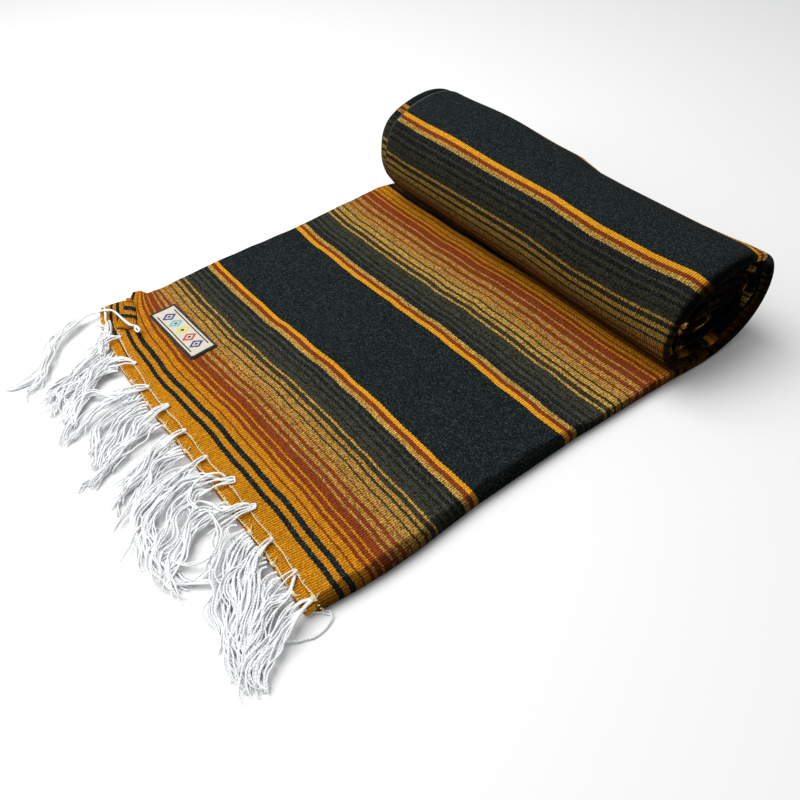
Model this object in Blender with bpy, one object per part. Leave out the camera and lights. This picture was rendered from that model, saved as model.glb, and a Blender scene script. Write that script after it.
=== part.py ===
"""A striped woven serape with a knotted fringe, folded in four lengthwise and rolled up from one end.

Metres, +Z up, lying on z = 0. +Y runs from the fringe to the roll, and +X from the open long edge
to the folded one. The origin is the middle of the bounding box, on the floor. The four leaves are
numbered from the top: the first and fourth join round the near fold, and the second and third
join inside it. Round the roll the fourth leaf is outermost.
"""

from math import cos, pi, sin, tau

import bmesh
import bpy
import numpy as np

# Cloth
CLOTH = 0.0012  # thickness of one leaf
GAP = 0.0003  # clearance between neighbouring solids
LEAVES = 4
STRIP = LEAVES * CLOTH + 2 * GAP  # thickness of the folded strip where it is pressed
PITCH = STRIP + GAP  # thickness that each turn of the roll takes

# Roll: a flat core with the strip wound round it
CORE_HALF_DEPTH = 0.0231
CORE_HALF_HEIGHT = 0.0066
WOUND = 0.0405  # thickness of cloth on the core where the outer turn starts
TURNS = 6
TURN_STATIONS = 24
TURN_END = 1e-9  # keeps the end of a whole turn apart from the start of the next
ROLL_LEFT = -0.187  # second and third leaves at the roll's open end
OUTER_SELVEDGE = -0.175  # fourth leaf's edge there, drawn in
TUCKED_EDGE = -0.184  # fold of the first and second leaves there
ROLL_HALF_DEPTH = CORE_HALF_DEPTH + WOUND - PITCH / 4
ROLL_AXIS_HEIGHT = CORE_HALF_HEIGHT + WOUND

# Flat run
WIDTH = 0.400  # whole width, fringe and all
NEAR_FOLD = 0.190
FLAT_RUN = 0.3673  # fringe edge of the top leaf to the roll's axis
LONGEST_TASSEL = 0.0875
OPEN_HEIGHT = 0.008  # height of the stack at its open long edge
FOLD_HEIGHT = 0.011  # and at the near fold
SECOND_LEAF_SHOWS = 0.0085  # how far the leaves below reach beyond the top leaf
SLOT_DEPTH = 0.012  # how far the hidden leaves part at their edges
CORNER_SWEEP = 0.020  # how far the fringe edge draws back at the open corner
CORNER_SWEEP_FROM = -0.120
CORNER_SWEEP_WIDTH = 0.080
SWEEP_FADE = 0.060  # distance from the fringe over which that sweep fades
LIP = 0.0011  # radius of the fold between the first and second leaves
LIP_DROP = 0.25  # how far that fold reaches down, as a share of the stack's height
FOLD_STEPS = 8
HIDDEN_FOLD_ANGLES = (pi / 3, pi / 6, pi / 18)  # stations round the inner fold, from its top down
FLAT_SHARES = (0, 0.035, 0.09, 0.14, 0.20, 0.30, 0.42, 0.56, 0.70, 0.84)  # stations before the roll
BOTTOM_COLUMNS = 4
SLOT_COLUMNS = 8

# The whole in place
LENGTH = LONGEST_TASSEL + FLAT_RUN + ROLL_HALF_DEPTH
FRINGE_EDGE = LONGEST_TASSEL - LENGTH / 2
ROLL_Y = FRINGE_EDGE + FLAT_RUN

# Open long edge of the stack: distance from the fringe edge, place across
OPEN_EDGE = (
    (0.000, -0.200),
    (0.033, -0.198),
    (0.062, -0.188),
    (0.122, -0.191),
    (0.212, -0.190),
    (0.255, -0.194),
    (0.315, -0.199),
    (FLAT_RUN, ROLL_LEFT),
)
# Near fold of the stack, the same way
FOLDED_EDGE = (
    (0.000, 0.1915),
    (0.027, 0.1940),
    (0.050, 0.1950),
    (0.075, 0.1945),
    (0.100, 0.1925),
    (0.130, 0.1900),
    (0.170, 0.1888),
    (0.226, 0.1875),
    (0.300, 0.1885),
    (FLAT_RUN, NEAR_FOLD),
)
# Soft swells of the top leaf: across, from the fringe edge, half width, half length, height
TOP_SWELLS = (
    (-0.035, 0.150, 0.060, 0.150, 0.0014),
    (0.060, 0.110, 0.050, 0.090, 0.0008),
    (0.125, 0.215, 0.045, 0.080, 0.0010),
)
# Swells of the outer turn: across, half width, height
ROLL_SWELLS = (
    (-0.105, 0.075, 0.0030),
    (0.190, 0.040, 0.0008),
)
END_SKEW = 0.005  # how far the roll's open end leans, back at the top
END_SKEW_TURN = 0.8  # share of a turn at which it is drawn in most
# How far the near fold of each turn sits inside the outer one, from the outer turn inwards
FOLD_RECESS = (0.0, 0.003, 0.001, 0.005, 0.003, 0.007, 0.006)
TURN_DRIFT = 0.002  # how far the turns' open edges wander across
TURN_DRIFT_PERIOD = 2.3  # turns
ROLL_COLUMNS = 10  # columns across the fourth leaf on the roll
TUCKED_SHARES = (0, 0.5, 1)  # and across the first
HIDDEN_SHARES = (0, 0.25, 0.5, 0.75, 1)  # and across the second and third
# Ends of the roll's heart: how far inside the strip's ends, how much thinner
HEART_LEFT = ((0.004, 0.0004), (0.006, 0))
HEART_RIGHT = ((0.002, 0), (0, 0.0004))
# Corner of the top leaf turned over on itself: far side and near side, each across and along
TURNED_CORNER = (
    ((-0.1955, 0.0325), (-0.1800, 0.0335)),
    ((-0.1860, 0.0230), (-0.1680, 0.0275)),
    ((-0.1745, 0.0155), (-0.1590, 0.0225)),
    ((-0.1640, 0.0105), (-0.1510, 0.0190)),
)
# Label patch: centre across and along, half sizes, turn across the cloth
LABEL_CENTRE = (-0.1185, 0.0512)
LABEL_HALF = (0.0400, 0.0122)
LABEL_TURN = 0.062
LABEL_THICK = 0.0014
LABEL_COLUMNS = 7
# Tassels: knot across, reach beyond the top leaf's edge, drift of the tip across
TASSELS = (
    (-0.193, 0.055, 0.004),
    (-0.172, 0.064, 0.006),
    (-0.144, 0.084, -0.010),
    (-0.103, LONGEST_TASSEL, -0.018),
    (-0.068, 0.072, 0.008),
    (-0.036, 0.078, 0.011),
    (-0.003, 0.078, 0.015),
    (0.032, 0.066, 0.022),
    (0.064, 0.070, 0.034),
    (0.096, 0.066, 0.026),
    (0.128, 0.060, 0.036),
    (0.160, 0.064, 0.034),
    (0.188, 0.054, 0.012),
)
# Fringe past the hidden leaves' edge: share of the reach, lower row's top, upper row's rise above it
FRINGE_ROWS = (
    (0.00, 0.0045, None),
    (0.14, 0.0042, 0.0042),
    (0.45, 0.0034, 0.0038),
    (0.84, 0.0022, 0.0030),
)
FRINGE_TIPS = ((0.90, 0.0036), (1.00, 0.0028))  # share of the reach, upper row's top on the floor
KNOT_RISE = 0.0014  # how far the knots stand above the top leaf
KNOT_CLEAR = 0.0005  # gap between the hidden leaves' edge and the tassels that drop past it
FRINGE_CLEAR = 0.0005  # gap between the two rows

COLOURS = {
    "outer_leaf_flat": (0.150, 0.085, 0.020),
    "inner_leaves_flat": (0.560, 0.270, 0.012),
    "outer_leaf_roll": (0.013, 0.018, 0.020),
    "inner_leaves_roll": (0.100, 0.060, 0.020),
    "inner_turns": (0.060, 0.035, 0.014),
    "roll_heart": (0.040, 0.026, 0.012),
    "turned_corner": (0.600, 0.290, 0.014),
    "label_patch": (0.600, 0.540, 0.440),
    "fringe_upper": (0.780, 0.810, 0.840),
    "fringe_lower": (0.700, 0.730, 0.760),
}
CLOTH_ROUGHNESS = 0.92


def finish(name):
    """The part's own material, in its main colour."""
    material = bpy.data.materials.new(name)
    material.use_nodes = True
    shader = material.node_tree.nodes["Principled BSDF"]
    shader.inputs["Base Color"].default_value = (*COLOURS[name], 1)
    shader.inputs["Roughness"].default_value = CLOTH_ROUGHNESS
    shader.inputs["Metallic"].default_value = 0
    return material


def closed_mesh(name, points, faces, collection):
    """An object from the faces of one closed body, turned to face outwards."""
    mesh = bpy.data.meshes.new(name)
    mesh.from_pydata([tuple(point) for point in points], [], faces)
    body = bmesh.new()
    body.from_mesh(mesh)
    bmesh.ops.recalc_face_normals(body, faces=body.faces)
    body.to_mesh(mesh)
    body.free()
    piece = bpy.data.objects.new(name, mesh)
    collection.objects.link(piece)
    return piece


def slab(name, upper, lower, collection):
    """A body between two grids of points that have the same rows and columns."""
    upper = np.asarray(upper)
    rows, columns = upper.shape[:2]
    points = np.concatenate([upper.reshape(-1, 3), np.asarray(lower).reshape(-1, 3)])
    at = np.arange(rows * columns).reshape(rows, columns)
    below = rows * columns
    faces = []
    for row in range(rows - 1):
        for column in range(columns - 1):
            quad = (at[row, column], at[row, column + 1], at[row + 1, column + 1], at[row + 1, column])
            faces.append(tuple(int(corner) for corner in quad))
            faces.append(tuple(int(corner) + below for corner in reversed(quad)))
    rim = [*at[0, :], *at[1:, -1], *at[-1, -2::-1], *at[-2:0:-1, 0]]
    for here, onward in zip(rim, rim[1:] + rim[:1]):
        faces.append((int(here), int(here) + below, int(onward) + below, int(onward)))
    return closed_mesh(name, points, faces, collection)


def tube(name, rings, collection):
    """A body through closed rings of points, with a flat end at the first and the last."""
    rings = np.asarray(rings)
    count, around = rings.shape[:2]
    faces = [tuple(range(around)), tuple(range((count - 1) * around, count * around))]
    for ring in range(count - 1):
        for step in range(around):
            onward = (step + 1) % around
            here = ring * around
            faces.append((here + step, here + onward, here + around + onward, here + around + step))
    return closed_mesh(name, rings.reshape(-1, 3), faces, collection)


def beside(line, distance):
    """A line in a plane moved to its right-hand side by a distance, with mitred corners."""
    line = np.asarray(line, float)
    steps = np.diff(line, axis=0)
    steps /= np.linalg.norm(steps, axis=1)[:, None]
    sides = np.stack([steps[:, 1], -steps[:, 0]], axis=1)
    before = np.vstack([sides[:1], sides])
    after = np.vstack([sides, sides[-1:]])
    reach = 1 + (before * after).sum(axis=1)
    return line + distance * (before + after) / reach[:, None]


def bump(distance, half_width):
    """A smooth swell: one at the middle and nothing past the half width."""
    share = min(abs(distance) / half_width, 1)
    return (1 + cos(pi * share)) / 2


# ---- the roll's spiral


def core_point(angle):
    """Point of the flat core whose outward direction is this angle from +Y towards +Z."""
    depth = CORE_HALF_DEPTH**2 * cos(angle)
    height = CORE_HALF_HEIGHT**2 * sin(angle)
    scale = (CORE_HALF_DEPTH * cos(angle)) ** 2 + (CORE_HALF_HEIGHT * sin(angle)) ** 2
    return np.array([depth, height]) / scale**0.5


def turn_angles(fine_steps=720):
    """Outward directions round one turn, from the floor up the back, evenly spaced at mid thickness."""
    angles = np.linspace(-pi / 2, 3 * pi / 2, fine_steps + 1)
    outline = [core_point(angle) + WOUND / 2 * np.array([cos(angle), sin(angle)]) for angle in angles]
    lengths = np.linalg.norm(np.diff(outline, axis=0), axis=1)
    travelled = np.concatenate([[0], np.cumsum(lengths)])
    return np.interp(np.linspace(0, travelled[-1], TURN_STATIONS + 1), travelled, angles)


ANGLES = turn_angles()


def roll_angle(turns):
    return float(np.interp(turns % 1 * TURN_STATIONS, range(TURN_STATIONS + 1), ANGLES))


def roll_point(turns, depth):
    """(y, z) after a number of turns from the floor, this deep below the strip's outer face."""
    angle = roll_angle(turns)
    radius = WOUND - PITCH * turns - depth
    offset = core_point(angle) + radius * np.array([cos(angle), sin(angle)])
    return ROLL_Y + offset[0], ROLL_AXIS_HEIGHT + offset[1]


def stations(first, last):
    """Turn counts from one whole turn to another, drawn in at both ends to leave the gap."""
    clear = GAP / (tau * WOUND)
    turns = np.arange(first * TURN_STATIONS, last * TURN_STATIONS + 1) / TURN_STATIONS
    turns[0] += clear
    turns[-1] -= clear
    return turns


# ---- the flat run


def underside_of_roll():
    """(y, z) of the outer turn where it comes down onto the flat run, front first."""
    quarter = TURN_STATIONS // 4
    return [roll_point(1 - back / TURN_STATIONS - TURN_END, 0) for back in range(quarter, -1, -1)]


ROLL_UNDERSIDE = underside_of_roll()
PRESS_FROM = ROLL_UNDERSIDE[0][0]


def pressed_height(y):
    """Height that the roll leaves for the flat run below it."""
    if y <= PRESS_FROM:
        return FOLD_HEIGHT
    ys = [point[0] for point in ROLL_UNDERSIDE]
    zs = [point[1] - GAP for point in ROLL_UNDERSIDE]
    return float(np.interp(y, ys, zs))


def edge_at(rows, y):
    """Place across of a long edge of the stack."""
    along, across = zip(*rows)
    return float(np.interp(y - FRINGE_EDGE, along, across))


def open_edge(y):
    return edge_at(OPEN_EDGE, y)


def folded_edge(y):
    return edge_at(FOLDED_EDGE, y)


def stack_height(x, y):
    """Height of the four leaves together, before the top leaf's soft swells."""
    left = open_edge(y)
    share = min(max((x - left) / (folded_edge(y) - FOLD_HEIGHT / 2 - left), 0), 1)
    return min(OPEN_HEIGHT + (FOLD_HEIGHT - OPEN_HEIGHT) * share, pressed_height(y))


def swell(x, y):
    """Rise of the top leaf above the stack."""
    along = y - FRINGE_EDGE
    return sum(
        height * bump(x - across, half_width) * bump(along - middle, half_length)
        for across, middle, half_width, half_length, height in TOP_SWELLS
    )


def top_height(x, y):
    return stack_height(x, y) + swell(x, y)


def edge_sweep(x, y):
    """How far the weave draws back from the fringe at the open corner."""
    across = max(0, (CORNER_SWEEP_FROM - x) / CORNER_SWEEP_WIDTH)
    fade = min(max(1 - (y - FRINGE_EDGE) / SWEEP_FADE, 0), 1)
    return CORNER_SWEEP * across**2 * fade


def flat_stations():
    """Places along the flat run, from the top leaf's fringe edge to the roll's axis."""
    loose = [FRINGE_EDGE + share * (PRESS_FROM - FRINGE_EDGE) for share in FLAT_SHARES]
    pressed = [point[0] for point in ROLL_UNDERSIDE]
    pressed[-1] -= GAP
    return loose + pressed


def across_shares():
    """Shares of the way from the near fold's roll to the open edge at which the knots sit."""
    first = folded_edge(FRINGE_EDGE) - FOLD_HEIGHT / 2
    last = open_edge(FRINGE_EDGE) + CLOTH / 2 + LIP
    knots = [knot for knot, reach, drift in reversed(TASSELS) if last < knot < first]
    return [0, *((first - knot) / (first - last) for knot in knots), 1]


ACROSS = across_shares()


def outer_leaf_line(bottom_left, left, fold, fold_height, height_at, columns, shares):
    """(x, height) along the fourth leaf, round the near fold, back along the first and over its edge."""
    middle = CLOTH / 2
    centre = fold - fold_height / 2
    radius = fold_height / 2 - middle
    line = [(x, middle) for x in np.linspace(bottom_left, centre, columns)]
    for step in range(1, FOLD_STEPS):
        angle = -pi / 2 + pi * step / FOLD_STEPS
        line.append((centre + radius * cos(angle), fold_height / 2 + radius * sin(angle)))
    start = left + middle + LIP
    for share in shares:
        x = centre + (start - centre) * share
        line.append((x, height_at(x) - middle))
    top = height_at(start) - middle
    for angle in (pi / 4, pi / 2):
        line.append((start - LIP * sin(angle), top - LIP * (1 - cos(angle))))
    line.append((start - LIP, top - LIP - LIP_DROP * height_at(start)))
    return line


def outer_leaf_flat(collection):
    """First and fourth leaves in one wall round the near fold, along the flat run."""
    outside = []
    inside = []
    for y in flat_stations():
        left = open_edge(y)
        fold = folded_edge(y)
        height = stack_height(fold, y)
        drawn_in = left + (OUTER_SELVEDGE - ROLL_LEFT) * (y - FRINGE_EDGE) / FLAT_RUN
        across = (drawn_in, left, fold)
        line = outer_leaf_line(*across, height, lambda x: top_height(x, y), BOTTOM_COLUMNS, ACROSS)
        for grid, distance in ((outside, CLOTH / 2), (inside, -CLOTH / 2)):
            grid.append([(x, y + edge_sweep(x, y), z) for x, z in beside(line, distance)])
    return slab("outer_leaf_flat", outside, inside, collection)


def hidden_leaves(left, fold, height, height_at, shares):
    """Upper and lower lines (x, height) of the hidden leaves, rounded inside the near fold."""
    clear = CLOTH + GAP
    centre = fold - height / 2
    radius = height / 2 - clear
    across = [left + (centre - left) * (1 - share) for share in reversed(shares)]
    upper = [(x, height_at(x) - clear) for x in across]
    lower = [(x, clear) for x in across]
    for angle in HIDDEN_FOLD_ANGLES:
        upper.append((centre + radius * cos(angle), height / 2 + radius * sin(angle)))
        lower.append((centre + radius * cos(angle), height / 2 - radius * sin(angle)))
    return upper, lower


def slot_cutter(name, rows, collection):
    """A thin wedge between the second and third leaves; each row gives y and two places across."""
    clear = 2 * CLOTH + GAP
    upper = []
    lower = []
    for y, first, last in rows:
        across = np.linspace(first, last, SLOT_COLUMNS)
        upper.append([(x, y + edge_sweep(x, y), stack_height(x, y) - clear) for x in across])
        lower.append([(x, y + edge_sweep(x, y), clear) for x in across])
    cutter = slab(name, upper, lower, collection)
    cutter.hide_render = True
    cutter.display_type = "WIRE"
    return cutter


def inner_leaves_flat(collection, cutters):
    """Second and third leaves as one solid along the flat run, parted where their edges show."""
    start = FRINGE_EDGE - SECOND_LEAF_SHOWS
    tucked = CLOTH + GAP + LIP
    upper = []
    lower = []
    for y in (start, *flat_stations()):
        left = open_edge(y) + tucked
        fold = folded_edge(y)
        height = stack_height(fold, y)
        above, under = hidden_leaves(left, fold, height, lambda x: stack_height(x, y), ACROSS)
        upper.append([(x, y + edge_sweep(x, y), z) for x, z in above])
        lower.append([(x, y + edge_sweep(x, y), z) for x, z in under])
    piece = slab("inner_leaves_flat", upper, lower, collection)
    end = start + SLOT_DEPTH
    inside = folded_edge(FRINGE_EDGE) - FOLD_HEIGHT / 2
    fringe_rows = [(y, open_edge(y) - CLOTH, inside) for y in (start - CLOTH, start, end)]
    side_ys = (start, *(y for y in flat_stations() if y < PRESS_FROM))
    side_rows = [(y, open_edge(y) - CLOTH, open_edge(y) + tucked + SLOT_DEPTH) for y in side_ys]
    for name, rows in (("fringe_slot", fringe_rows), ("side_slot", side_rows)):
        cut = piece.modifiers.new(name, "BOOLEAN")
        cut.operation = "DIFFERENCE"
        cut.solver = "EXACT"
        cut.object = slot_cutter(name, rows, cutters)
    return piece


# ---- the roll


def end_skew(turns):
    """How far the roll's open end is drawn in at this place round it."""
    return END_SKEW * cos(tau * (turns - END_SKEW_TURN))


def roll_swell(x, turns):
    """Outward swell of the outer turn, over its top only."""
    rise = max(0, sin(roll_angle(turns)))
    return rise * sum(height * bump(x - across, width) for across, width, height in ROLL_SWELLS)


def outer_leaf_roll(collection):
    """Fourth leaf round the outside of the roll, its near fold and the first leaf under it."""
    outside = []
    inside = []
    for turns in stations(0, 1):
        across = (OUTER_SELVEDGE + end_skew(turns), ROLL_LEFT + end_skew(turns), NEAR_FOLD)
        line = outer_leaf_line(*across, STRIP, lambda x: STRIP, ROLL_COLUMNS, TUCKED_SHARES)
        for grid, distance in ((outside, CLOTH / 2), (inside, -CLOTH / 2)):
            row = []
            for x, depth in beside(line, distance):
                lift = roll_swell(x, turns) if depth < STRIP / 2 else 0
                row.append((x, *roll_point(turns, depth - lift)))
            grid.append(row)
    return slab("outer_leaf_roll", outside, inside, collection)


def inner_leaves_roll(collection):
    """Second and third leaves of the outer turn, whose edge stands out past the fourth's."""
    upper_grid = []
    lower_grid = []
    for turns in stations(0, 1):
        left = ROLL_LEFT + end_skew(turns)
        tucked = left + CLOTH + GAP + LIP
        upper, lower = hidden_leaves(tucked, NEAR_FOLD, STRIP, lambda x: STRIP, HIDDEN_SHARES)
        lower[0] = (left + CLOTH, lower[0][1])
        upper_grid.append([(x, *roll_point(turns, depth)) for x, depth in upper])
        lower_grid.append([(x, *roll_point(turns, depth)) for x, depth in lower])
    return slab("inner_leaves_roll", upper_grid, lower_grid, collection)


def inner_turns(collection):
    """The strip's turns inside the outer one: round at the near fold, stepped at the open edge."""
    rings = []
    for turns in stations(1, TURNS):
        fold = NEAR_FOLD - float(np.interp(turns, range(len(FOLD_RECESS)), FOLD_RECESS))
        drift = end_skew(turns) + TURN_DRIFT * sin(tau * turns / TURN_DRIFT_PERIOD)
        section = [
            (TUCKED_EDGE + drift, STRIP),
            (TUCKED_EDGE + drift, 2 * CLOTH + GAP),
            (ROLL_LEFT + drift, 2 * CLOTH + GAP),
            (ROLL_LEFT + drift, CLOTH),
            (OUTER_SELVEDGE + drift, CLOTH),
            (OUTER_SELVEDGE + drift, 0),
        ]
        for step in range(FOLD_STEPS // 2 + 1):
            angle = pi * step / (FOLD_STEPS // 2)
            section.append((fold - STRIP / 2 * (1 - sin(angle)), STRIP / 2 * (1 - cos(angle))))
        rings.append([(x, *roll_point(turns, depth)) for x, depth in section])
    return tube("inner_turns", rings, collection)


def roll_heart(collection):
    """The strip's last folded stretch, with the far fringe inside it, at the middle of the roll."""
    rings = []
    last_turn = np.arange(TURN_STATIONS + 1) / TURN_STATIONS + TURNS - 1
    last_turn[-1] -= TURN_END
    right = NEAR_FOLD - FOLD_RECESS[-1]
    ends = [(ROLL_LEFT + inside, thinner) for inside, thinner in HEART_LEFT]
    ends += [(right - inside, thinner) for inside, thinner in HEART_RIGHT]
    for x, thinner in ends:
        rings.append([(x, *roll_point(turns, STRIP + GAP + thinner)) for turns in last_turn])
    return tube("roll_heart", rings, collection)


# ---- what lies on the cloth and hangs from it


def turned_corner(collection):
    """Corner of the top leaf turned over and lying on it."""
    grids = []
    for lift in (GAP + CLOTH, GAP):
        grid = []
        for far, near in TURNED_CORNER:
            row = []
            for share in (0, 0.5, 1):
                x = far[0] + (near[0] - far[0]) * share
                y = FRINGE_EDGE + far[1] + (near[1] - far[1]) * share
                row.append((x, y, top_height(x, y) + lift))
            grid.append(row)
        grids.append(grid)
    return slab("turned_corner", *grids, collection)


def label_patch(collection):
    """Stitched patch that follows the top leaf."""
    grids = []
    for lift in (GAP + LABEL_THICK, GAP):
        grid = []
        for along in np.linspace(-1, 1, 3):
            row = []
            for across in np.linspace(-1, 1, LABEL_COLUMNS):
                right = across * LABEL_HALF[0]
                up = along * LABEL_HALF[1]
                x = LABEL_CENTRE[0] + right - up * LABEL_TURN
                y = FRINGE_EDGE + LABEL_CENTRE[1] + up + right * LABEL_TURN
                row.append((x, y, top_height(x, y) + lift))
            grid.append(row)
        grids.append(grid)
    return slab("label_patch", *grids, collection)


def fringe(collection):
    """Two rows of tassels: the lower on the floor, and the upper over the hidden leaves and the lower."""
    inside_fold = folded_edge(FRINGE_EDGE) - FOLD_HEIGHT / 2
    lower = {"top": [], "floor": []}
    upper = {"top": [], "under": []}
    for knot, reach, drift in TASSELS:
        sweep = edge_sweep(knot, FRINGE_EDGE)
        height = stack_height(min(knot, inside_fold), FRINGE_EDGE)
        hidden_edge = FRINGE_EDGE - SECOND_LEAF_SHOWS + sweep - KNOT_CLEAR
        tip = np.array([min(knot + drift, WIDTH / 2), FRINGE_EDGE - reach])
        root = np.array([knot, hidden_edge])
        under = [(knot, FRINGE_EDGE + sweep - GAP, height - CLOTH), (*root, height - CLOTH)]
        top = [(x, y, height + KNOT_RISE) for x, y, z in under]
        lower_top = []
        lower_floor = []
        for share, lower_rise, upper_rise in FRINGE_ROWS:
            x, y = root + (tip - root) * share
            lower_top.append((x, y, lower_rise))
            lower_floor.append((x, y, 0))
            if upper_rise:
                under.append((x, y, lower_rise + FRINGE_CLEAR))
                top.append((x, y, lower_rise + FRINGE_CLEAR + upper_rise))
        for share, rise in FRINGE_TIPS:
            x, y = root + (tip - root) * share
            under.append((x, y, 0))
            top.append((x, y, rise))
        upper["top"].append(top)
        upper["under"].append(under)
        lower["top"].append(lower_top)
        lower["floor"].append(lower_floor)
    slab("fringe_upper", upper["top"], upper["under"], collection)
    slab("fringe_lower", lower["top"], lower["floor"], collection)


def main():
    for piece in list(bpy.data.objects):
        bpy.data.objects.remove(piece)
    parts = bpy.data.collections.new("mexican_serape")
    cutters = bpy.data.collections.new("cutters")
    for collection in (parts, cutters):
        bpy.context.scene.collection.children.link(collection)
    outer_leaf_flat(parts)
    inner_leaves_flat(parts, cutters)
    outer_leaf_roll(parts)
    inner_leaves_roll(parts)
    inner_turns(parts)
    roll_heart(parts)
    turned_corner(parts)
    label_patch(parts)
    fringe(parts)
    for piece in parts.objects:
        piece.data.materials.append(finish(piece.name))
        piece.data.shade_smooth()
        piece.data.set_sharp_from_angle(angle=pi / 6)


main()
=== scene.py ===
"""Looks of a striped woven serape, folded in four lengthwise and rolled up, with its fringe spread.

Metres, +Z up, lying on z = 0. +Y runs from the fringe to the roll and +X from the open long edge to
the folded one. The four leaves are numbered from the top: the fourth joins the first round the near
fold, the first joins the second along the open edge, and the second joins the third inside.
"""

from math import cos, floor, pi, radians, sin, tau

import bpy
import numpy as np
from mathutils import Matrix, Vector


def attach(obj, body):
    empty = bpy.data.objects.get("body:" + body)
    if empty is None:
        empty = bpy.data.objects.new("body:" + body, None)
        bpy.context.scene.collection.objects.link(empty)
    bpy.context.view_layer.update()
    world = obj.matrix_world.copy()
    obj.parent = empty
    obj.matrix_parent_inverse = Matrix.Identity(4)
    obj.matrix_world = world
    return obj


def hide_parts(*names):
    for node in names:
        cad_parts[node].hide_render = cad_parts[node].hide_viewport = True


bl_info = {
    "name": "Rolled serape",
    "version": (1, 0, 0),
    "blender": (4, 5, 0),
    "location": "View3D > Sidebar > Serape",
    "description": "Weaves, folds and rolls a striped serape and ties its fringe",
    "category": "Object",
}

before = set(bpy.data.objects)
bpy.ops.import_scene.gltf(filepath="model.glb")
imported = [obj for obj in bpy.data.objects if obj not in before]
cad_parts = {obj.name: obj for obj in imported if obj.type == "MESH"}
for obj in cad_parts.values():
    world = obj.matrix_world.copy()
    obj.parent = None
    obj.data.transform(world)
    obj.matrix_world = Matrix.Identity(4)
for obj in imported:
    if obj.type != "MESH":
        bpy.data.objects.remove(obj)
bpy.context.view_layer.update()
BODY = "root"
MM = 0.001

# ---- sizes that the cloth's solids have

CLOTH = 0.0012  # thickness of one leaf
GAP = 0.0003  # clearance between leaves
STRIP = 4 * CLOTH + 2 * GAP  # thickness of the folded strip
PITCH = STRIP + GAP  # thickness that each turn of the roll takes
CORE_HALF_DEPTH = 0.0231  # of the oval that the strip is wound round
CORE_HALF_HEIGHT = 0.0066
WOUND = 0.0405  # thickness of all the turns, where they start
TURNS = 6
TURN_STATIONS = 24  # corners of the solids round one turn
ROLL_LEFT = -0.187  # open side of the strip in the roll
OUTER_SELVEDGE = -0.175  # edge of the fourth leaf, which stops short of it
ROLL_AXIS_HEIGHT = CORE_HALF_HEIGHT + WOUND
ROLL_HALF_DEPTH = CORE_HALF_DEPTH + WOUND - PITCH / 4
NEAR_FOLD = 0.190
FLAT_RUN = 0.3673  # fringe edge of the top leaf to the roll's axis
LONGEST_TASSEL = 0.0875  # reach of the fringe from its edge
OPEN_HEIGHT = 0.008  # of the four leaves at their open edge
FOLD_HEIGHT = 0.011  # and at the near fold
SECOND_LEAF_SHOWS = 0.0085  # past the top leaf at the fringe
CORNER_SWEEP = 0.020  # how far the open corner is drawn towards the roll
CORNER_SWEEP_FROM = -0.120
CORNER_SWEEP_WIDTH = 0.080
SWEEP_FADE = 0.060
LIP = 0.0011  # round of a leaf's edge at the open side
LIP_DROP = 0.25  # how far it reaches down, as a share of the height
FRINGE_EDGE = LONGEST_TASSEL - (LONGEST_TASSEL + FLAT_RUN + ROLL_HALF_DEPTH) / 2
ROLL_Y = FRINGE_EDGE + FLAT_RUN
OPEN_EDGE = (  # distance from the fringe edge, place across
    (0.000, -0.2005),
    (0.015, -0.1985),
    (0.030, -0.1940),
    (0.042, -0.1900),
    (0.062, -0.1888),
    (0.122, -0.1930),
    (0.212, -0.1925),
    (0.255, -0.1960),
    (0.315, -0.2000),
    (FLAT_RUN, ROLL_LEFT),
)
FOLDED_EDGE = (  # distance from the fringe edge, place across
    (0.000, 0.1895),
    (0.027, 0.1918),
    (0.050, 0.1926),
    (0.075, 0.1920),
    (0.100, 0.1898),
    (0.130, 0.1874),
    (0.170, 0.1864),
    (0.226, 0.1854),
    (0.300, 0.1872),
    (0.335, 0.1888),
    (FLAT_RUN, 0.1900),
)
TOP_SWELLS = (  # across, from the fringe edge, half width, half length, height
    (-0.035, 0.150, 0.060, 0.150, 0.0014),
    (0.060, 0.110, 0.050, 0.090, 0.0008),
    (0.125, 0.215, 0.045, 0.080, 0.0010),
)
ROLL_SWELLS = (  # across, half width, height
    (-0.105, 0.075, 0.0030),
    (0.190, 0.040, 0.0008),
)
FOLD_RECESS = (0.0, 0.006, 0.002, 0.009, 0.004, 0.010, 0.008)  # of each turn's near fold
KNOTS = (  # places across the fringe edge
    -0.194, -0.172, -0.144, -0.103, -0.068, -0.036, -0.003, 0.032, 0.064, 0.096, 0.128, 0.160, 0.188,
)

# ---- how the cloth lies, beyond what its solids show

# Shift of the weft towards the roll, in mm: across, at the fringe edge, at the first black stripe,
# and at the near and far sides of the broad black band
WEFT_SHIFT = (
    (-0.190, -2.0, -3.0, -6.6, -2.8),
    (-0.160, -3.0, -4.7, -7.5, -4.6),
    (-0.120, -3.3, -5.4, -6.2, -3.5),
    (-0.080, -3.5, -6.0, -5.3, -3.4),
    (-0.060, -3.0, -5.7, -3.4, -2.4),
    (-0.040, -2.2, -4.0, -2.6, -1.3),
    (-0.020, -1.4, -2.3, -1.8, -1.2),
    (0.000, -0.6, -1.0, 0.6, 0.6),
    (0.020, 0.0, -0.3, 1.8, 2.4),
    (0.050, 0.6, -0.1, 1.8, 2.7),
    (0.080, 1.4, 1.2, 2.4, 3.1),
    (0.110, 2.0, 2.0, 2.0, 1.9),
    (0.150, 1.4, 1.6, 2.4, 2.5),
    (0.190, 0.0, 1.4, 2.4, 4.0),
)
SHIFT_AT = (0.0, 0.0125, 0.1284, 0.2104)  # distances from the fringe edge of those columns
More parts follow.
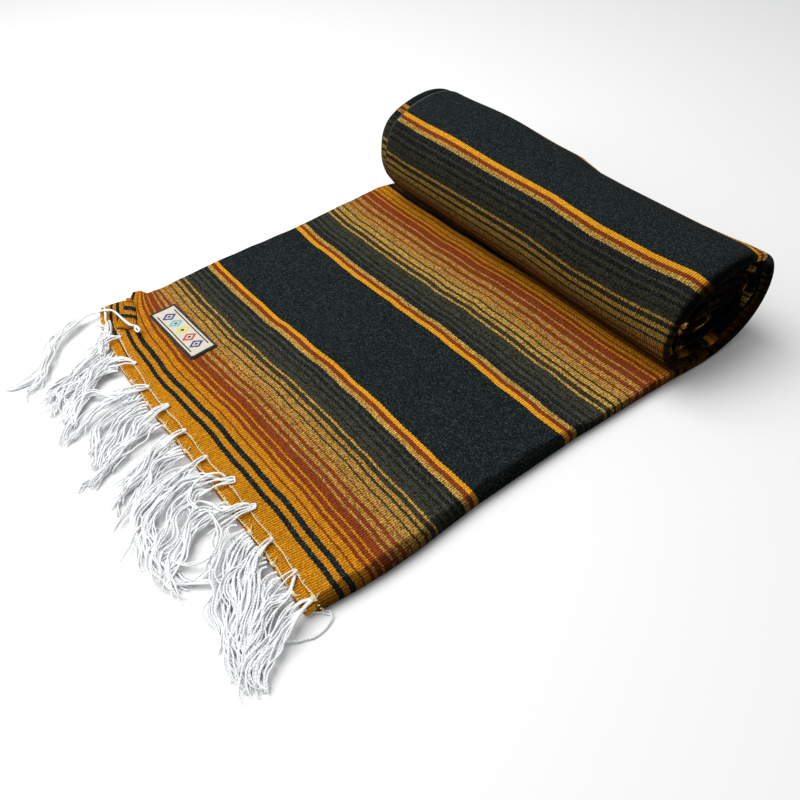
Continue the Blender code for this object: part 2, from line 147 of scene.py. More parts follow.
# How far the fringe edge is drawn towards the roll, in mm: across, top leaf, second leaf. From the
# middle on, both leaves follow the weft.
OPEN_HALF_SHIFT = (
    (-0.200, 19.5, -4.0),
    (-0.190, 15.7, -3.5),
    (-0.184, 12.6, -2.9),
    (-0.173, 7.3, -1.7),
    (-0.160, 3.3, -0.9),
    (-0.145, 1.3, 0.1),
    (-0.130, 1.1, 1.2),
    (-0.110, 0.3, -1.2),
    (-0.094, -0.8, -2.0),
    (-0.075, -2.7, -0.8),
    (-0.060, -3.0, -1.6),
)
EDGE_SHIFT = OPEN_HALF_SHIFT + tuple(
    (row[0], row[1], row[1]) for row in WEFT_SHIFT if row[0] > OPEN_HALF_SHIFT[-1][0]
)
TOP_LEAF, SECOND_LEAF = 1, 2  # columns of that table
EDGE_SHIFT_FADE = 0.060
EDGE_LIFT, EDGE_LIFT_WIDTH = 0.0013, 0.014  # of the top leaf's edge between its knots
SECOND_LEAF_LEAD = 0.0042  # the second leaf's weave runs ahead at the open corner
SECOND_LEAD_FROM, SECOND_LEAD_WIDTH = -0.140, 0.025
PAST_SELVEDGE = 0.003  # the second leaf is folded here, so no selvedge shows
CLOSE_ROWS, CLOSE_ROWS_REACH = 32, 0.05  # closer rows of the second leaf where its edge shows
# Where the broad black band starts and ends round the outer turn: across, and two distances round
BAND_ON_ROLL = (
    (-0.190, 0.124, 0.2009),
    (-0.140, 0.1265, 0.2018),
    (-0.100, 0.129, 0.2008),
    (-0.030, 0.131, 0.1997),
    (0.030, 0.1325, 0.1985),
    (0.085, 0.134, 0.2015),
    (0.140, 0.1355, 0.1998),
    (0.175, 0.1395, 0.1965),
    (0.192, 0.1440, 0.1957),
)
TUCKED_LEAD = 0.009  # how much further along the weave the tucked leaves are on the roll
INNER_LEAD = 0.085  # and the inner turns
# The roll is drawn in along its middle: across, how far
WAIST = ((-0.01, 0.0), (0.02, 0.0055), (0.05, 0.0058), (0.09, 0.0050), (0.13, 0.0042), (0.185, 0.0))
WAIST_DIRECTION = radians(25)
END_SKEW = 0.008  # the open end is skewed: furthest in at this turn, and furthest out opposite
END_SKEW_TURN = 0.86
OUTER_EDGE_REACH = 0.006  # low at the front the outer leaf's edge reaches further out
OUTER_EDGE_AT, OUTER_EDGE_TURNS = 0.92, 0.32
END_DROOP = 0.0055  # the near end of the roll sinks inwards
END_DROOP_FROM = 0.168
END_DROOP_TOWARDS, END_DROOP_REACH = radians(115), radians(85)
OPEN_END_FROM, OPEN_END_WIDTH = -0.11, 0.06  # the open end is folded to a ridge, high at its front
OPEN_END_RIDGE = 0.0028
RIDGE_TOWARDS, RIDGE_REACH = radians(128), radians(38)
FRONT_TUCK = 0.0028  # the open end is tucked in low at its front
FRONT_TUCK_AT, FRONT_TUCK_TURNS = 0.84, 0.24
# Soft creases: across and along at each end, half width, height (a trough when negative)
CREASES = (
    (-0.045, 0.070, 0.012, 0.180, 0.016, 0.0005),
    (0.022, 0.085, 0.050, 0.200, 0.018, -0.0005),
    (0.085, 0.030, 0.120, 0.150, 0.015, 0.0004),
    (0.150, 0.095, 0.186, 0.125, 0.010, -0.0006),
    (0.155, 0.175, 0.188, 0.190, 0.009, 0.0005),
    (0.150, 0.245, 0.186, 0.262, 0.011, -0.0005),
    (-0.190, 0.130, -0.120, 0.150, 0.012, -0.0004),
    (-0.190, 0.215, -0.130, 0.205, 0.010, 0.0004),
    (-0.100, 0.250, 0.020, 0.262, 0.012, 0.0003),
    (0.050, 0.268, 0.160, 0.262, 0.010, 0.0004),
)

# Painted shade where the cloth is tucked away under the roll: share, where it starts and over what width
CREASE_SHADE, CREASE_SHADE_FROM, CREASE_SHADE_WIDTH = 0.92, 0.3215, 0.0075
# Painted shade down the roll's front
FRONT_SHADES = (  # down the roll's front: way round the outer turn, how dark
    (0.196, 0.0), (0.2126, 0.24), (0.222, 0.46), (0.243, 0.52), (0.262, 0.66), (0.282, 0.86),
    (0.300, 0.95),
)
# Painted shade at the roll's near end
END_SHADE, END_SHADE_FROM, END_SHADE_WIDTH = 0.975, 0.1818, 0.0055  # at the roll's near end
# Where that end's painted shade is lighter: turn, half width in turns, and how much
LOW_FRONT = (0.93, 0.10, 0.30)
HIGH_BACK = (0.36, 0.07, 1)
# And where painted shade darkens it further in, under the back: from this place across, until this turn
BACK_SHADE_FROM, BACK_SHADE_WIDTH = 0.158, 0.026
BACK_SHADE_UNTIL, BACK_SHADE_TURNS = 0.33, 0.09
# Painted shade of the tucked leaves beside the outer leaf's edge
UNDER_EDGE_SHADE = 0.45  # beside the outer leaf's edge
# Painted shade on the near fold's side, at its edge and at the floor, and the width over which that shade
# starts
FOLD_SHADE, UNDER_SHADE, FOLD_EDGE = 0.72, 0.95, 0.0014
# How wide the painted shade on that side is: distance from the fringe edge, width
FOLD_SIDE = ((0.0, 0.0062), (0.015, 0.0086), (0.205, 0.0082), (0.240, 0.0026), (0.33, 0.0024))
FOLD_WAVER = 0.0006  # unevenness of its edge
FOLD_SQUARENESS = 0.62  # 1 is round

# ---- rows of the roll's leaves, and its heart

OUTER_TURN = (0.0002, 1 - 0.0012)  # first and last row of the outer turn
OUTER_ROW_SPACING = 0.8  # of the usual spacing
TUCKED_ROWS = 130
INNER_TURNS = (1.0012, TURNS - 0.004)
INNER_ROWS = 260
HEART_HEIGHT, HEART_DEPTH = 0.47, 0.70  # of the core's
HEART_RUN_ROWS, HEART_BEND_ROWS = 14, 7
# Painted shade of the heart, deep in the roll
HEART_SHADE = 0.97

# ---- the weave

RIB_PITCH = 0.00187  # between ribs across the cloth
REED = 0.00374  # between the faint marks of the reed
REED_MARK = 0.045  # how much those marks lighten and darken the cloth
SPECK = (0.0008, 0.0006)  # size of a fleck across and along
FLECKED, FLECK_STRENGTH = 0.08, 0.62  # share of the specks that show, and how grey they are
SELVEDGE_WIDTH = 0.0013
PICK = 0.00036  # one yarn of the weft
SWAY = 0.0007  # how far a yarn of the weft wanders along the cloth
# Painted light on a bead of yarn: between beads, and how much more at its top
BEAD_DARK, BEAD_LIGHT = 0.04, 1.32
BEAD_MOTTLE, STREAK_MOTTLE = 2.3, 0.8  # unevenness of the dye from bead to bead and along a yarn
TONE_MOTTLE = 0.20  # and over a hand's width
# Stripes of one repeat from the fringe edge: width in mm, yarn
FIRST_GRADIENT = (
    (12.5, "gold"), (4.0, "black"), (4.3, "gold"), (4.2, "black"), (5.4, "gold"), (1.5, "rust"),
    (4.3, "gold"), (2.75, "rust"), (2.7, "gold"), (3.75, "rust"), (1.5, "gold"), (6.0, "rust"),
    (1.5, "tan"), (3.5, "rust"), (3.2, "tan"), (2.9, "rust"), (3.9, "tan"), (1.3, "rust"),
    (5.4, "tan"), (1.5, "brown"), (4.3, "tan"), (2.5, "brown"), (2.9, "tan"), (4.0, "brown"),
    (1.5, "straw"), (5.0, "olive"), (1.4, "charcoal"), (4.1, "olive"), (2.5, "charcoal"),
    (2.7, "moss"), (3.7, "charcoal"), (1.9, "moss"), (4.15, "charcoal"), (4.25, "straw"),
    (3.5, "rust"), (3.9, "amber"),
)
BLACK_BAND = ((82.0, "black"),)
SECOND_GRADIENT = (
    (4.2, "amber"), (4.0, "rust"), (3.9, "straw"), (5.6, "charcoal"), (2.0, "moss"),
    (3.7, "charcoal"), (3.1, "moss"), (2.6, "charcoal"), (4.5, "olive"), (1.4, "charcoal"),
    (5.5, "olive"), (2.0, "straw"), (3.9, "brown"), (3.5, "straw"), (2.5, "brown"), (5.2, "straw"),
    (1.6, "brown"), (6.9, "tan"), (1.7, "rust"), (5.4, "tan"), (3.75, "rust"), (4.2, "tan"),
    (5.4, "rust"), (1.7, "tan"), (7.1, "rust"), (2.0, "gold"), (3.75, "rust"), (2.9, "gold"),
    (1.7, "rust"), (5.0, "gold"), (1.4, "rust"), (4.2, "gold"), (4.2, "black"), (4.3, "gold"),
    (4.0, "black"), (18.2, "gold"),
)
REPEAT = FIRST_GRADIENT + BLACK_BAND + SECOND_GRADIENT
REPEAT_LENGTH = sum(width for width, yarn in REPEAT) * MM
BAND_START = sum(width for width, yarn in FIRST_GRADIENT) * MM
BAND_END = BAND_START + BLACK_BAND[0][0] * MM
RAMP_STRIPES = 24  # stripes held by one colour ramp
MOTTLE = {  # how unevenly each yarn is dyed
    "gold": 0.36, "black": 0.58, "rust": 0.36, "tan": 0.66, "straw": 0.66, "amber": 0.26,
    "brown": 0.60, "olive": 0.64, "charcoal": 0.60, "moss": 0.62,
}


def srgb(red, green, blue):
    """Linear colour from one given in the usual 0 to 255."""
    shares = [value / 255 for value in (red, green, blue)]
    return tuple(s / 12.92 if s <= 0.04045 else ((s + 0.055) / 1.055) ** 2.4 for s in shares)


def colour_property(name, description, red, green, blue):
    return bpy.props.FloatVectorProperty(
        name=name, description=description, subtype="COLOR", size=3, min=0, max=1,
        default=srgb(red, green, blue),
    )


def length_property(name, description, default, low, high):
    return bpy.props.FloatProperty(
        name=name, description=description, unit="LENGTH", precision=5,
        default=default, min=low, max=high,
    )


def amount_property(name, description, default, low=0.0, high=100.0, unit="NONE"):
    return bpy.props.FloatProperty(
        name=name, description=description, unit=unit, default=default, min=low, max=high,
    )


class SerapeYarns(bpy.types.PropertyGroup):
    """Dyes of the weft, the fringe and the threads."""

    gold: colour_property("Gold", "Broad stripes at the fringe", 199, 130, 21)
    amber: colour_property("Amber", "Bright stripe beside the black band", 228, 158, 34)
    rust: colour_property("Rust", "Red-brown stripes", 134, 60, 28)
    tan: colour_property("Tan", "Mottled stripes beside the rust ones", 174, 130, 59)
    straw: colour_property("Straw", "Mottled stripes beside the olive ones", 187, 145, 66)
    brown: colour_property("Dark olive", "Dark stripes between the tan ones", 58, 54, 39)
    olive: colour_property("Olive", "Wide muted stripes", 58, 57, 46)
    moss: colour_property("Moss", "Thin muted stripes", 62, 62, 50)
    charcoal: colour_property("Charcoal", "Dark stripes of the gradient", 34, 38, 37)
    black: colour_property("Black", "Broad band and the pair of stripes", 31, 37, 38)
    fleck: colour_property("Fleck", "Grey fibres that show on the dark yarns", 104, 105, 97)
    selvedge: colour_property("Selvedge", "Doubled edge yarn", 82, 85, 83)
    fringe: colour_property("Fringe", "Bleached warp ends", 246, 248, 249)
    thread: colour_property("Thread", "Cream warp ends along the edge", 236, 220, 178)


class SerapeCloth(bpy.types.PropertyGroup):
    """How the cloth is woven and how it lies."""

    rib: length_property("Rib", "Distance between ribs across the cloth", RIB_PITCH, 0.0006, 0.004)
    pick: length_property("Pick", "Height of one yarn of the weft", PICK, 0.0002, 0.003)
    relief: length_property("Relief", "Height of a bead of yarn over its rib", 0.00035, 0, 0.001)
    spacing: length_property("Mesh spacing", "Distance between rows along the cloth", 0.0021, 0.001, 0.01)


class SerapeFringe(bpy.types.PropertyGroup):
    """Yarns of the tassels."""

    fullness: amount_property("Fullness", "Yarns in a tassel, against the usual number", 1, 0.2, 2)
    thickness: length_property("Thickness", "Diameter of one yarn", 0.00138, 0.0004, 0.004)
    spread: amount_property("Spread", "Width of a tassel, against the usual one", 1, 0.1, 2)
    seed: bpy.props.IntProperty(name="Seed", description="Choice of tangle", default=7, min=0)


class SerapeStage(bpy.types.PropertyGroup):
    """Floor and lights."""

    floor: colour_property("Floor", "Paper that the serape lies on", 244, 244, 244)
    key: amount_property("Key", "Power of the large soft light above", 24, unit="POWER")
    fill: amount_property("Fill", "Power of the light from the fringe's side", 4, unit="POWER")
    room: amount_property("Room", "Strength of the pale surroundings", 0.34)


# ---- nodes


def math_method(operation):
    """An operator of values and its reflected form, which add a Math node."""

    def forward(self, other):
        return self.math(operation, self, other)

    def reflected(self, other):
        return self.math(operation, other, self)

    return forward, reflected


class Value:
    """An output of a finish's nodes, on which arithmetic adds Math nodes."""

    __add__, __radd__ = math_method("ADD")
    __sub__, __rsub__ = math_method("SUBTRACT")
    __mul__, __rmul__ = math_method("MULTIPLY")
    __truediv__, __rtruediv__ = math_method("DIVIDE")
    __mod__, __rmod__ = math_method("FLOORED_MODULO")
    __pow__, __rpow__ = math_method("POWER")
    __gt__ = math_method("GREATER_THAN")[0]
    __lt__ = math_method("LESS_THAN")[0]

    def __init__(self, finish, socket):
        self.finish = finish
        self.socket = socket

    def math(self, operation, *terms):
        return self.finish.add("ShaderNodeMath", {"operation": operation}, dict(enumerate(terms)))

    def floor(self):
        return self.math("FLOOR", self)

    def fraction(self):
        return self.math("FRACT", self)

    def sine(self):
        return self.math("SINE", self)

    def size(self):
        return self.math("ABSOLUTE", self)


class Finish:
    """A material and the nodes that feed its shader."""

    def __init__(self, name, **uniform):
        self.material = bpy.data.materials.new(name)
        self.material.use_nodes = True
        self.tree = self.material.node_tree
        self.shader = self.tree.nodes["Principled BSDF"]
        for socket, value in uniform.items():
            self.shader.inputs[socket.replace("_", " ")].default_value = value

    def add(self, kind, settings=None, sockets=None, output=0):
        """A node of this type with its settings made and its sockets set or linked."""
        node = self.tree.nodes.new(kind)
        for setting, value in (settings or {}).items():
            if setting == "stops":
                self.set_stops(node.color_ramp, value)
            elif setting == "interpolation":
                node.color_ramp.interpolation = value
            else:
                setattr(node, setting, value)
        for socket, value in (sockets or {}).items():
            self.put(node.inputs[socket], value)
        return Value(self, node.outputs[output])

    def put(self, socket, value):
        if isinstance(value, Value):
            self.tree.links.new(value.socket, socket)
        else:
            socket.default_value = value

    def set_stops(self, ramp, stops):
        while len(ramp.elements) < len(stops):
            ramp.elements.new(1)
        for element, (place, colour) in zip(ramp.elements, stops):
            element.position = place
            element.color = colour

    def feed(self, **inputs):
        for socket, value in inputs.items():
            self.put(self.shader.inputs[socket.replace("_", " ")], value)

    def coordinates(self, attribute):
        """The three numbers that each point of the mesh carries."""
        place = self.add("ShaderNodeAttribute", {"attribute_name": attribute}, output="Vector")
        parts = self.tree.nodes.new("ShaderNodeSeparateXYZ")
        self.put(parts.inputs[0], place)
        return [Value(self, part) for part in parts.outputs]

    def point(self, x, y, z=0):
        return self.add("ShaderNodeCombineXYZ", sockets={0: x, 1: y, 2: z})

    def noise(self, vector, scale, detail=2):
        sockets = {"Vector": vector, "Scale": scale, "Detail": detail}
        return self.add("ShaderNodeTexNoise", sockets=sockets, output="Fac")

    def dice(self, vector):
        return self.add("ShaderNodeTexWhiteNoise", {"noise_dimensions": "3D"}, {"Vector": vector})

    def mix(self, share, first, second):
        settings = {"data_type": "RGBA"}
        sockets = {"Factor": share, 6: first, 7: second}
        return self.add("ShaderNodeMix", settings, sockets, output=2)

    def shade(self, colour, amount):
        """The colour made lighter or darker by an amount."""
        return self.add("ShaderNodeVectorMath", {"operation": "SCALE"}, {0: colour, "Scale": amount})

    def bump(self, height, distance, strength=1.0):
        sockets = {"Height": height, "Distance": distance, "Strength": strength}
        return self.add("ShaderNodeBump", sockets=sockets)


def opaque(colour):
    """The colour with an alpha of one, as sockets and stops take it."""
    return (*colour, 1)


def stripe_ramps(finish, place, yarns):
    """Colour of the weft yarn that lies at this place in the repeat, and how mottled it is."""
    starts = np.cumsum([0] + [width * MM for width, yarn in REPEAT])
    colour = None
    for first in range(0, len(REPEAT), RAMP_STRIPES):
        stripes = REPEAT[first:first + RAMP_STRIPES]
        begin = starts[first]
        reach = starts[first + len(stripes)] - begin
        stops = []
        for (width, yarn), start in zip(stripes, starts[first:]):
            stops.append((float((start - begin) / reach), (*getattr(yarns, yarn), MOTTLE[yarn])))
        settings = {"stops": stops, "interpolation": "CONSTANT"}
        share = (place - float(begin)) / float(reach)
        ramp = finish.add("ShaderNodeValToRGB", settings, {"Fac": share})
        node = ramp.socket.node
        alpha = Value(finish, node.outputs["Alpha"])
        if colour is None:
            colour, mottle = ramp, alpha
        else:
            past = place > float(begin)
            colour = finish.mix(past, colour, ramp)
            mottle = mottle + past * (alpha - mottle)
    return colour, mottle


def weave_finish(scene):
    """Weft-faced weave: each yarn shows as beads over every other rib."""
    yarns = scene.serape_yarns
    cloth = scene.serape_cloth
    finish = Finish("striped_weave", Roughness=0.88, Specular_IOR_Level=0.02)
    across, along, painted_shade = finish.coordinates("cloth")
    # Which bead of which yarn lies here
    ribs = across / cloth.rib
    column = ribs.floor()
    stagger = (column % 2) * 0.5
    sway = finish.noise(finish.point(column * 0.37, along * 60), 1.0)
    picks = (along + (sway - 0.5) * SWAY) / (2 * cloth.pick) + stagger
    bead = picks.floor()
    yarn_at = (bead - stagger + 0.5) * (2 * cloth.pick)
    colour, mottle = stripe_ramps(finish, yarn_at % REPEAT_LENGTH, yarns)
    roundness = ((ribs.fraction() * pi).sine() * (0.4 + 0.6 * (picks.fraction() * pi).sine())) ** 0.6
    # Its own share of dye, and the painted light on it
    chance = finish.dice(finish.point((ribs * 2).floor(), bead, 3))
    streak = finish.noise(finish.point(across * 120, yarn_at * 900), 1.0)
    tone = finish.noise(finish.point(across * 14, along * 20), 1.0)
    uneven = 1 + mottle * ((chance - 0.5) * BEAD_MOTTLE + (streak - 0.5) * STREAK_MOTTLE)
    reed = (across * (tau / REED)).sine()
    broad = (1 - TONE_MOTTLE / 2 + TONE_MOTTLE * tone) * (1 + REED_MARK * reed)
    lit = (BEAD_DARK + BEAD_LIGHT * roundness) * uneven * broad
    # Grey fibres, the selvedge, and the painted shade that each point carries where the cloth is tucked
    # away or folded under
    speck = finish.point((across / SPECK[0]).floor(), (along / SPECK[1]).floor(), 11)
    fleck = (finish.dice(speck) > 1 - FLECKED) * mottle * FLECK_STRENGTH
    edge = across < SELVEDGE_WIDTH
    colour = finish.mix(edge, finish.shade(colour, lit), opaque(yarns.selvedge))
    flecked = finish.mix(fleck, colour, opaque(yarns.fleck))
    finish.feed(Base_Color=finish.shade(flecked, 1 - painted_shade), Roughness=0.94 - 0.14 * roundness)
    height = roundness + (chance - 0.5) * 0.5 + (streak - 0.5) * 0.5
    finish.feed(Normal=finish.bump(height, cloth.relief, 0.9))
    return finish.material


def shared_weave(scene):
    """The weave's material, which every leaf of the cloth shares."""
    return bpy.data.materials.get("striped_weave") or weave_finish(scene)


def yarn_finish(name, colour, twist=0.0022, depth=0.0002):
    """Soft spun yarn of two plies; each point carries its length, its turn and its strand's number."""
    finish = Finish(name, Roughness=0.62, Sheen_Weight=0.45, Sheen_Roughness=0.35, Specular_IOR_Level=0.4)
    along, around, strand = finish.coordinates("yarn")
    plies = ((along / twist + around * 2 + strand * 7) * tau).sine()
    fuzz = finish.noise(finish.point(along * 900, around * 9, strand * 31), 1.0, 3)
    shade = finish.dice(finish.point(strand * 13, 2, 5))
    # Painted light and shade along the twist of the plies, a random tone for each strand, and fuzz
    lit = (0.97 + 0.05 * plies) * (0.93 + 0.12 * shade) * (0.90 + 0.20 * fuzz)
    finish.feed(Base_Color=finish.shade(colour, lit))
    finish.feed(Normal=finish.bump(plies * 0.5 + fuzz * 0.7, depth, 0.8))
    return finish.material


# ---- meshes


def smooth_bump(distance, half_width):
    """One at the middle and nothing past the half width, softly."""
    return (1 + np.cos(pi * np.minimum(np.abs(distance) / half_width, 1))) / 2


def ease(share):
    """From nothing to one as the share does, starting and ending gently."""
    share = np.clip(share, 0, 1)
    return share * share * (3 - 2 * share)


def column(rows, place):
    """One column of a table as an array."""
    return np.array([row[place] for row in rows])


def look_up(rows, at, place=1):
    """A table's column at a value of its first one."""
    return np.interp(at, column(rows, 0), column(rows, place))


def make_piece(name, points, faces, material, attribute, numbers):
    """An object from points and faces, whose points carry three numbers each for its finish."""
    if isinstance(faces, list):
        sizes = np.array([len(face) for face in faces])
        corners = np.concatenate(faces)
    else:
        sizes = np.full(len(faces), faces.shape[1])
        corners = faces.ravel()
    mesh = bpy.data.meshes.new(name)
    mesh.vertices.add(len(points))
    mesh.vertices.foreach_set("co", np.asarray(points, np.float32).ravel())
    mesh.loops.add(len(corners))
    mesh.loops.foreach_set("vertex_index", corners.astype(np.int32))
    mesh.polygons.add(len(sizes))
    starts = np.concatenate([[0], np.cumsum(sizes)[:-1]])
    mesh.polygons.foreach_set("loop_start", starts.astype(np.int32))
    mesh.update(calc_edges=True)
    mesh.validate()
    mesh.shade_smooth()
    layer = mesh.attributes.new(attribute, "FLOAT_VECTOR", "POINT")
    layer.data.foreach_set("vector", np.asarray(numbers, np.float32).ravel())
    mesh.materials.append(material)
    piece = bpy.data.objects.new(name, mesh)
    bpy.context.scene.collection.objects.link(piece)
    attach(piece, BODY)
    return piece


def unit(vectors):
    """The vectors at a length of one."""
    return vectors / np.maximum(np.linalg.norm(vectors, axis=-1, keepdims=True), 1e-9)


def lengths(line):
    """Distance travelled at each point of a line."""
    steps = np.linalg.norm(np.diff(line, axis=0), axis=1)
    return np.concatenate([[0], np.cumsum(steps)])


def together(*coordinates):
    """Points from their coordinates, any of which may be one number for them all."""
    return np.stack(np.broadcast_arrays(*coordinates), axis=1)


def half_round(centre, middle, radius, points):
    """The points inside a half circle that bulges away from its centre, as a fold does."""
    angles = np.linspace(-pi / 2, pi / 2, points + 2)[1:-1]
    return together(centre + radius * np.cos(angles), middle + radius * np.sin(angles))


def quads(index):
    """Faces of a grid of point numbers."""
    corners = (index[:-1, :-1], index[:-1, 1:], index[1:, 1:], index[1:, :-1])
    return np.stack([corner.ravel() for corner in corners], axis=1)


def around(grid):
    """The rim of a grid, once round."""
    return np.concatenate([grid[0, :], grid[1:, -1], grid[-1, -2::-1], grid[-2:0:-1, 0]])


def leaf_mesh(name, outer, inner, cloth, material, thickness=CLOTH):
    """A closed leaf between two grids of points, with a rounded rim."""
    rows, columns = outer.shape[:2]
    middle = (outer + inner) / 2
    push = thickness / 2
    rim_grid = middle.copy()
    rim_grid[0] += push * unit(middle[0] - middle[1])
    rim_grid[-1] += push * unit(middle[-1] - middle[-2])
    rim_grid[:, 0] = middle[:, 0] + push * unit(middle[:, 0] - middle[:, 1])
    rim_grid[:, -1] = middle[:, -1] + push * unit(middle[:, -1] - middle[:, -2])
    for end, inner_row in ((0, 1), (-1, -2)):
        for side, inner_column in ((0, 1), (-1, -2)):
            away = unit(middle[end, side] - middle[inner_row, inner_column])
            rim_grid[end, side] = middle[end, side] + push * away
    index = np.arange(rows * columns).reshape(rows, columns)
    rim_points = around(rim_grid)
    top, bottom = index, index + rows * columns
    rim = 2 * rows * columns + np.arange(len(rim_points))
    faces = [quads(top), quads(bottom)[:, ::-1]]
    for first, second in ((around(top), rim), (rim, around(bottom))):
        onward_first, onward_second = np.roll(first, -1), np.roll(second, -1)
        faces.append(np.stack([second, onward_second, onward_first, first], axis=1))
    points = np.concatenate([outer.reshape(-1, 3), inner.reshape(-1, 3), rim_points])
    numbers = np.concatenate([cloth.reshape(-1, 3), cloth.reshape(-1, 3), around(cloth)])
    return make_piece(name, points, np.concatenate(faces), material, "cloth", numbers)


NEARLY_UP = np.array([0.13, 0.21, 1.0])  # leans, so that no yarn runs along it


def strand_mesh(name, lines, radii, material, sides=6):
    """Round yarns along lines of points; each line has its own radius at each point."""
    points, faces, numbers = [], [], []
    base = 0
    turn = tau * np.arange(sides) / sides
    for strand, (line, radius) in enumerate(zip(lines, radii)):
        line = np.asarray(line, float)
        radius = np.broadcast_to(radius, len(line))
        tangent = unit(np.gradient(line, axis=0))
        side = unit(np.cross(tangent, NEARLY_UP))
        up = np.cross(side, tangent)
        ring = np.cos(turn)[None, :, None] * side[:, None] + np.sin(turn)[None, :, None] * up[:, None]
        points.append((line[:, None] + radius[:, None, None] * ring).reshape(-1, 3))
        info = np.zeros((len(line), sides, 3))
        info[..., 0] = lengths(line)[:, None]
        info[..., 1] = (turn / tau)[None, :]
        info[..., 2] = strand * 0.0173
        numbers.append(info.reshape(-1, 3))
        index = base + np.arange(len(line) * sides).reshape(len(line), sides)
        wrapped = np.concatenate([index, index[:, :1]], axis=1)
        faces.extend(quads(wrapped))
        faces.append(index[0])
        faces.append(index[-1][::-1])
        base += len(line) * sides
    return make_piece(
        name, np.concatenate(points), list(faces), material, "yarn", np.concatenate(numbers)
    )


def beside(line, distance):
    """A line in a plane moved to its right-hand side by a distance, with mitred corners."""
    steps = unit(np.diff(line, axis=0))
    sides = np.stack([steps[:, 1], -steps[:, 0]], axis=1)
    before = np.vstack([sides[:1], sides])
    after = np.vstack([sides, sides[-1:]])
    reach = 1 + (before * after).sum(axis=1)
    return line + distance * (before + after) / reach[:, None]


# ---- the roll's spiral


def core_point(angle):
    """Point of the oval core whose outward direction is this angle."""
    depth = CORE_HALF_DEPTH**2 * np.cos(angle)
    height = CORE_HALF_HEIGHT**2 * np.sin(angle)
    scale = np.sqrt((CORE_HALF_DEPTH * np.cos(angle)) ** 2 + (CORE_HALF_HEIGHT * np.sin(angle)) ** 2)
    return np.stack([depth / scale, height / scale], axis=-1)


def heading(angle):
    """The outward direction at an angle."""
    return np.stack([np.cos(angle), np.sin(angle)], axis=-1)


def turn_angles(fine_steps=720):
    """Outward directions round one turn, from the floor up the back, evenly spaced at mid thickness."""
    angles = np.linspace(-pi / 2, 3 * pi / 2, fine_steps + 1)
    travelled = lengths(core_point(angles) + WOUND / 2 * heading(angles))
    return np.interp(np.linspace(0, travelled[-1], TURN_STATIONS + 1), travelled, angles)


ANGLES = turn_angles()
SAME_TURN = 1e-9  # keeps a whole number of turns within its last one


def roll_angle(turns):
    """Outward direction after a number of turns from the floor."""
    return np.interp((turns % 1) * TURN_STATIONS, range(TURN_STATIONS + 1), ANGLES)


def give(x, angle, turns):
    """How far the roll stands out or is pressed in, across its width."""
    swell = sum(height * smooth_bump(x - across, width) for across, width, height in ROLL_SWELLS)
    lift = np.maximum(0, np.sin(angle)) * swell
    waist = look_up(WAIST, x) * np.maximum(0, np.cos(angle - WAIST_DIRECTION)) ** 1.5
    share = np.clip(1 - PITCH * turns / WOUND, 0, 1)
    past = np.maximum(0, x - END_DROOP_FROM) / (NEAR_FOLD - END_DROOP_FROM)
    droop = END_DROOP * past**2 * smooth_bump(angle - END_DROOP_TOWARDS, END_DROOP_REACH)
    towards_end = ease((OPEN_END_FROM - x) / OPEN_END_WIDTH)
    ridge = OPEN_END_RIDGE * smooth_bump(angle - RIDGE_TOWARDS, RIDGE_REACH) * towards_end
    return (lift - waist + ridge) * share - droop


def roll_point(turns, depth, x):
    """(y, z) after a number of turns from the floor, this deep below the strip's outer face."""
    angle = roll_angle(turns)
    radius = WOUND - PITCH * turns - depth + give(x, angle, turns)
    offset = core_point(angle) + radius[..., None] * heading(angle)
    return ROLL_Y + offset[..., 0], ROLL_AXIS_HEIGHT + offset[..., 1]


def end_skew(turns):
    """How far in the roll's open end lies."""
    tuck = FRONT_TUCK * smooth_bump((turns % 1) - FRONT_TUCK_AT, FRONT_TUCK_TURNS)
    return END_SKEW * np.cos(tau * (turns - END_SKEW_TURN)) + tuck


def outline(turns):
    """The strip's outer face after these turns, about the roll's axis."""
    angle = roll_angle(turns)
    return core_point(angle) + (WOUND - PITCH * turns)[:, None] * heading(angle)


def rounds(samples=2400):
    """Turn counts and the distance travelled round the roll's outside."""
    turns = np.linspace(0, TURNS - SAME_TURN, samples)
    return turns, lengths(outline(turns))


ROUND_TURNS, ROUND_LENGTH = rounds()


def travelled_round(turns):
    """Distance round the roll's outside after a number of turns."""
    return np.interp(turns, ROUND_TURNS, ROUND_LENGTH)


def roll_painted_shade(turns, x):
    """Painted shade of the outer turn: low at the front, at the near end and under the back there."""
    front = look_up(FRONT_SHADES, travelled_round(turns))
    lighter = sum(share * smooth_bump(turns - at, half) for at, half, share in (LOW_FRONT, HIGH_BACK))
    end = END_SHADE * ease((x - END_SHADE_FROM) / END_SHADE_WIDTH) * (1 - lighter)
    inwards = ease((x - BACK_SHADE_FROM) / BACK_SHADE_WIDTH)
    back = END_SHADE * inwards * ease((BACK_SHADE_UNTIL - turns) / BACK_SHADE_TURNS)
    return np.maximum(np.maximum(front, end), back)


def along_roll(turns, x):
    """Distance from the fringe edge, along the weave, of a place on the roll."""
    travelled = travelled_round(turns)
    start = look_up(BAND_ON_ROLL, x, 1)
    end = look_up(BAND_ON_ROLL, x, 2)
    band_start = BAND_START + REPEAT_LENGTH
    band_end = BAND_END + REPEAT_LENGTH
    before = FLAT_RUN + travelled * (band_start - FLAT_RUN) / start
    within = band_start + (travelled - start) * (band_end - band_start) / (end - start)
    after = band_end + (travelled - end)
    return np.where(travelled < start, before, np.where(travelled < end, within, after))


# ---- the flat run


def underside_of_roll():
    """(y, height) of the roll's last quarter turn over the flat run."""
    quarter = TURN_STATIONS // 4
    turns = 1 - np.arange(quarter, -1, -1) / TURN_STATIONS - SAME_TURN
    return outline(turns) + (ROLL_Y, ROLL_AXIS_HEIGHT)


ROLL_UNDERSIDE = underside_of_roll()
PRESS_FROM = ROLL_UNDERSIDE[0, 0]


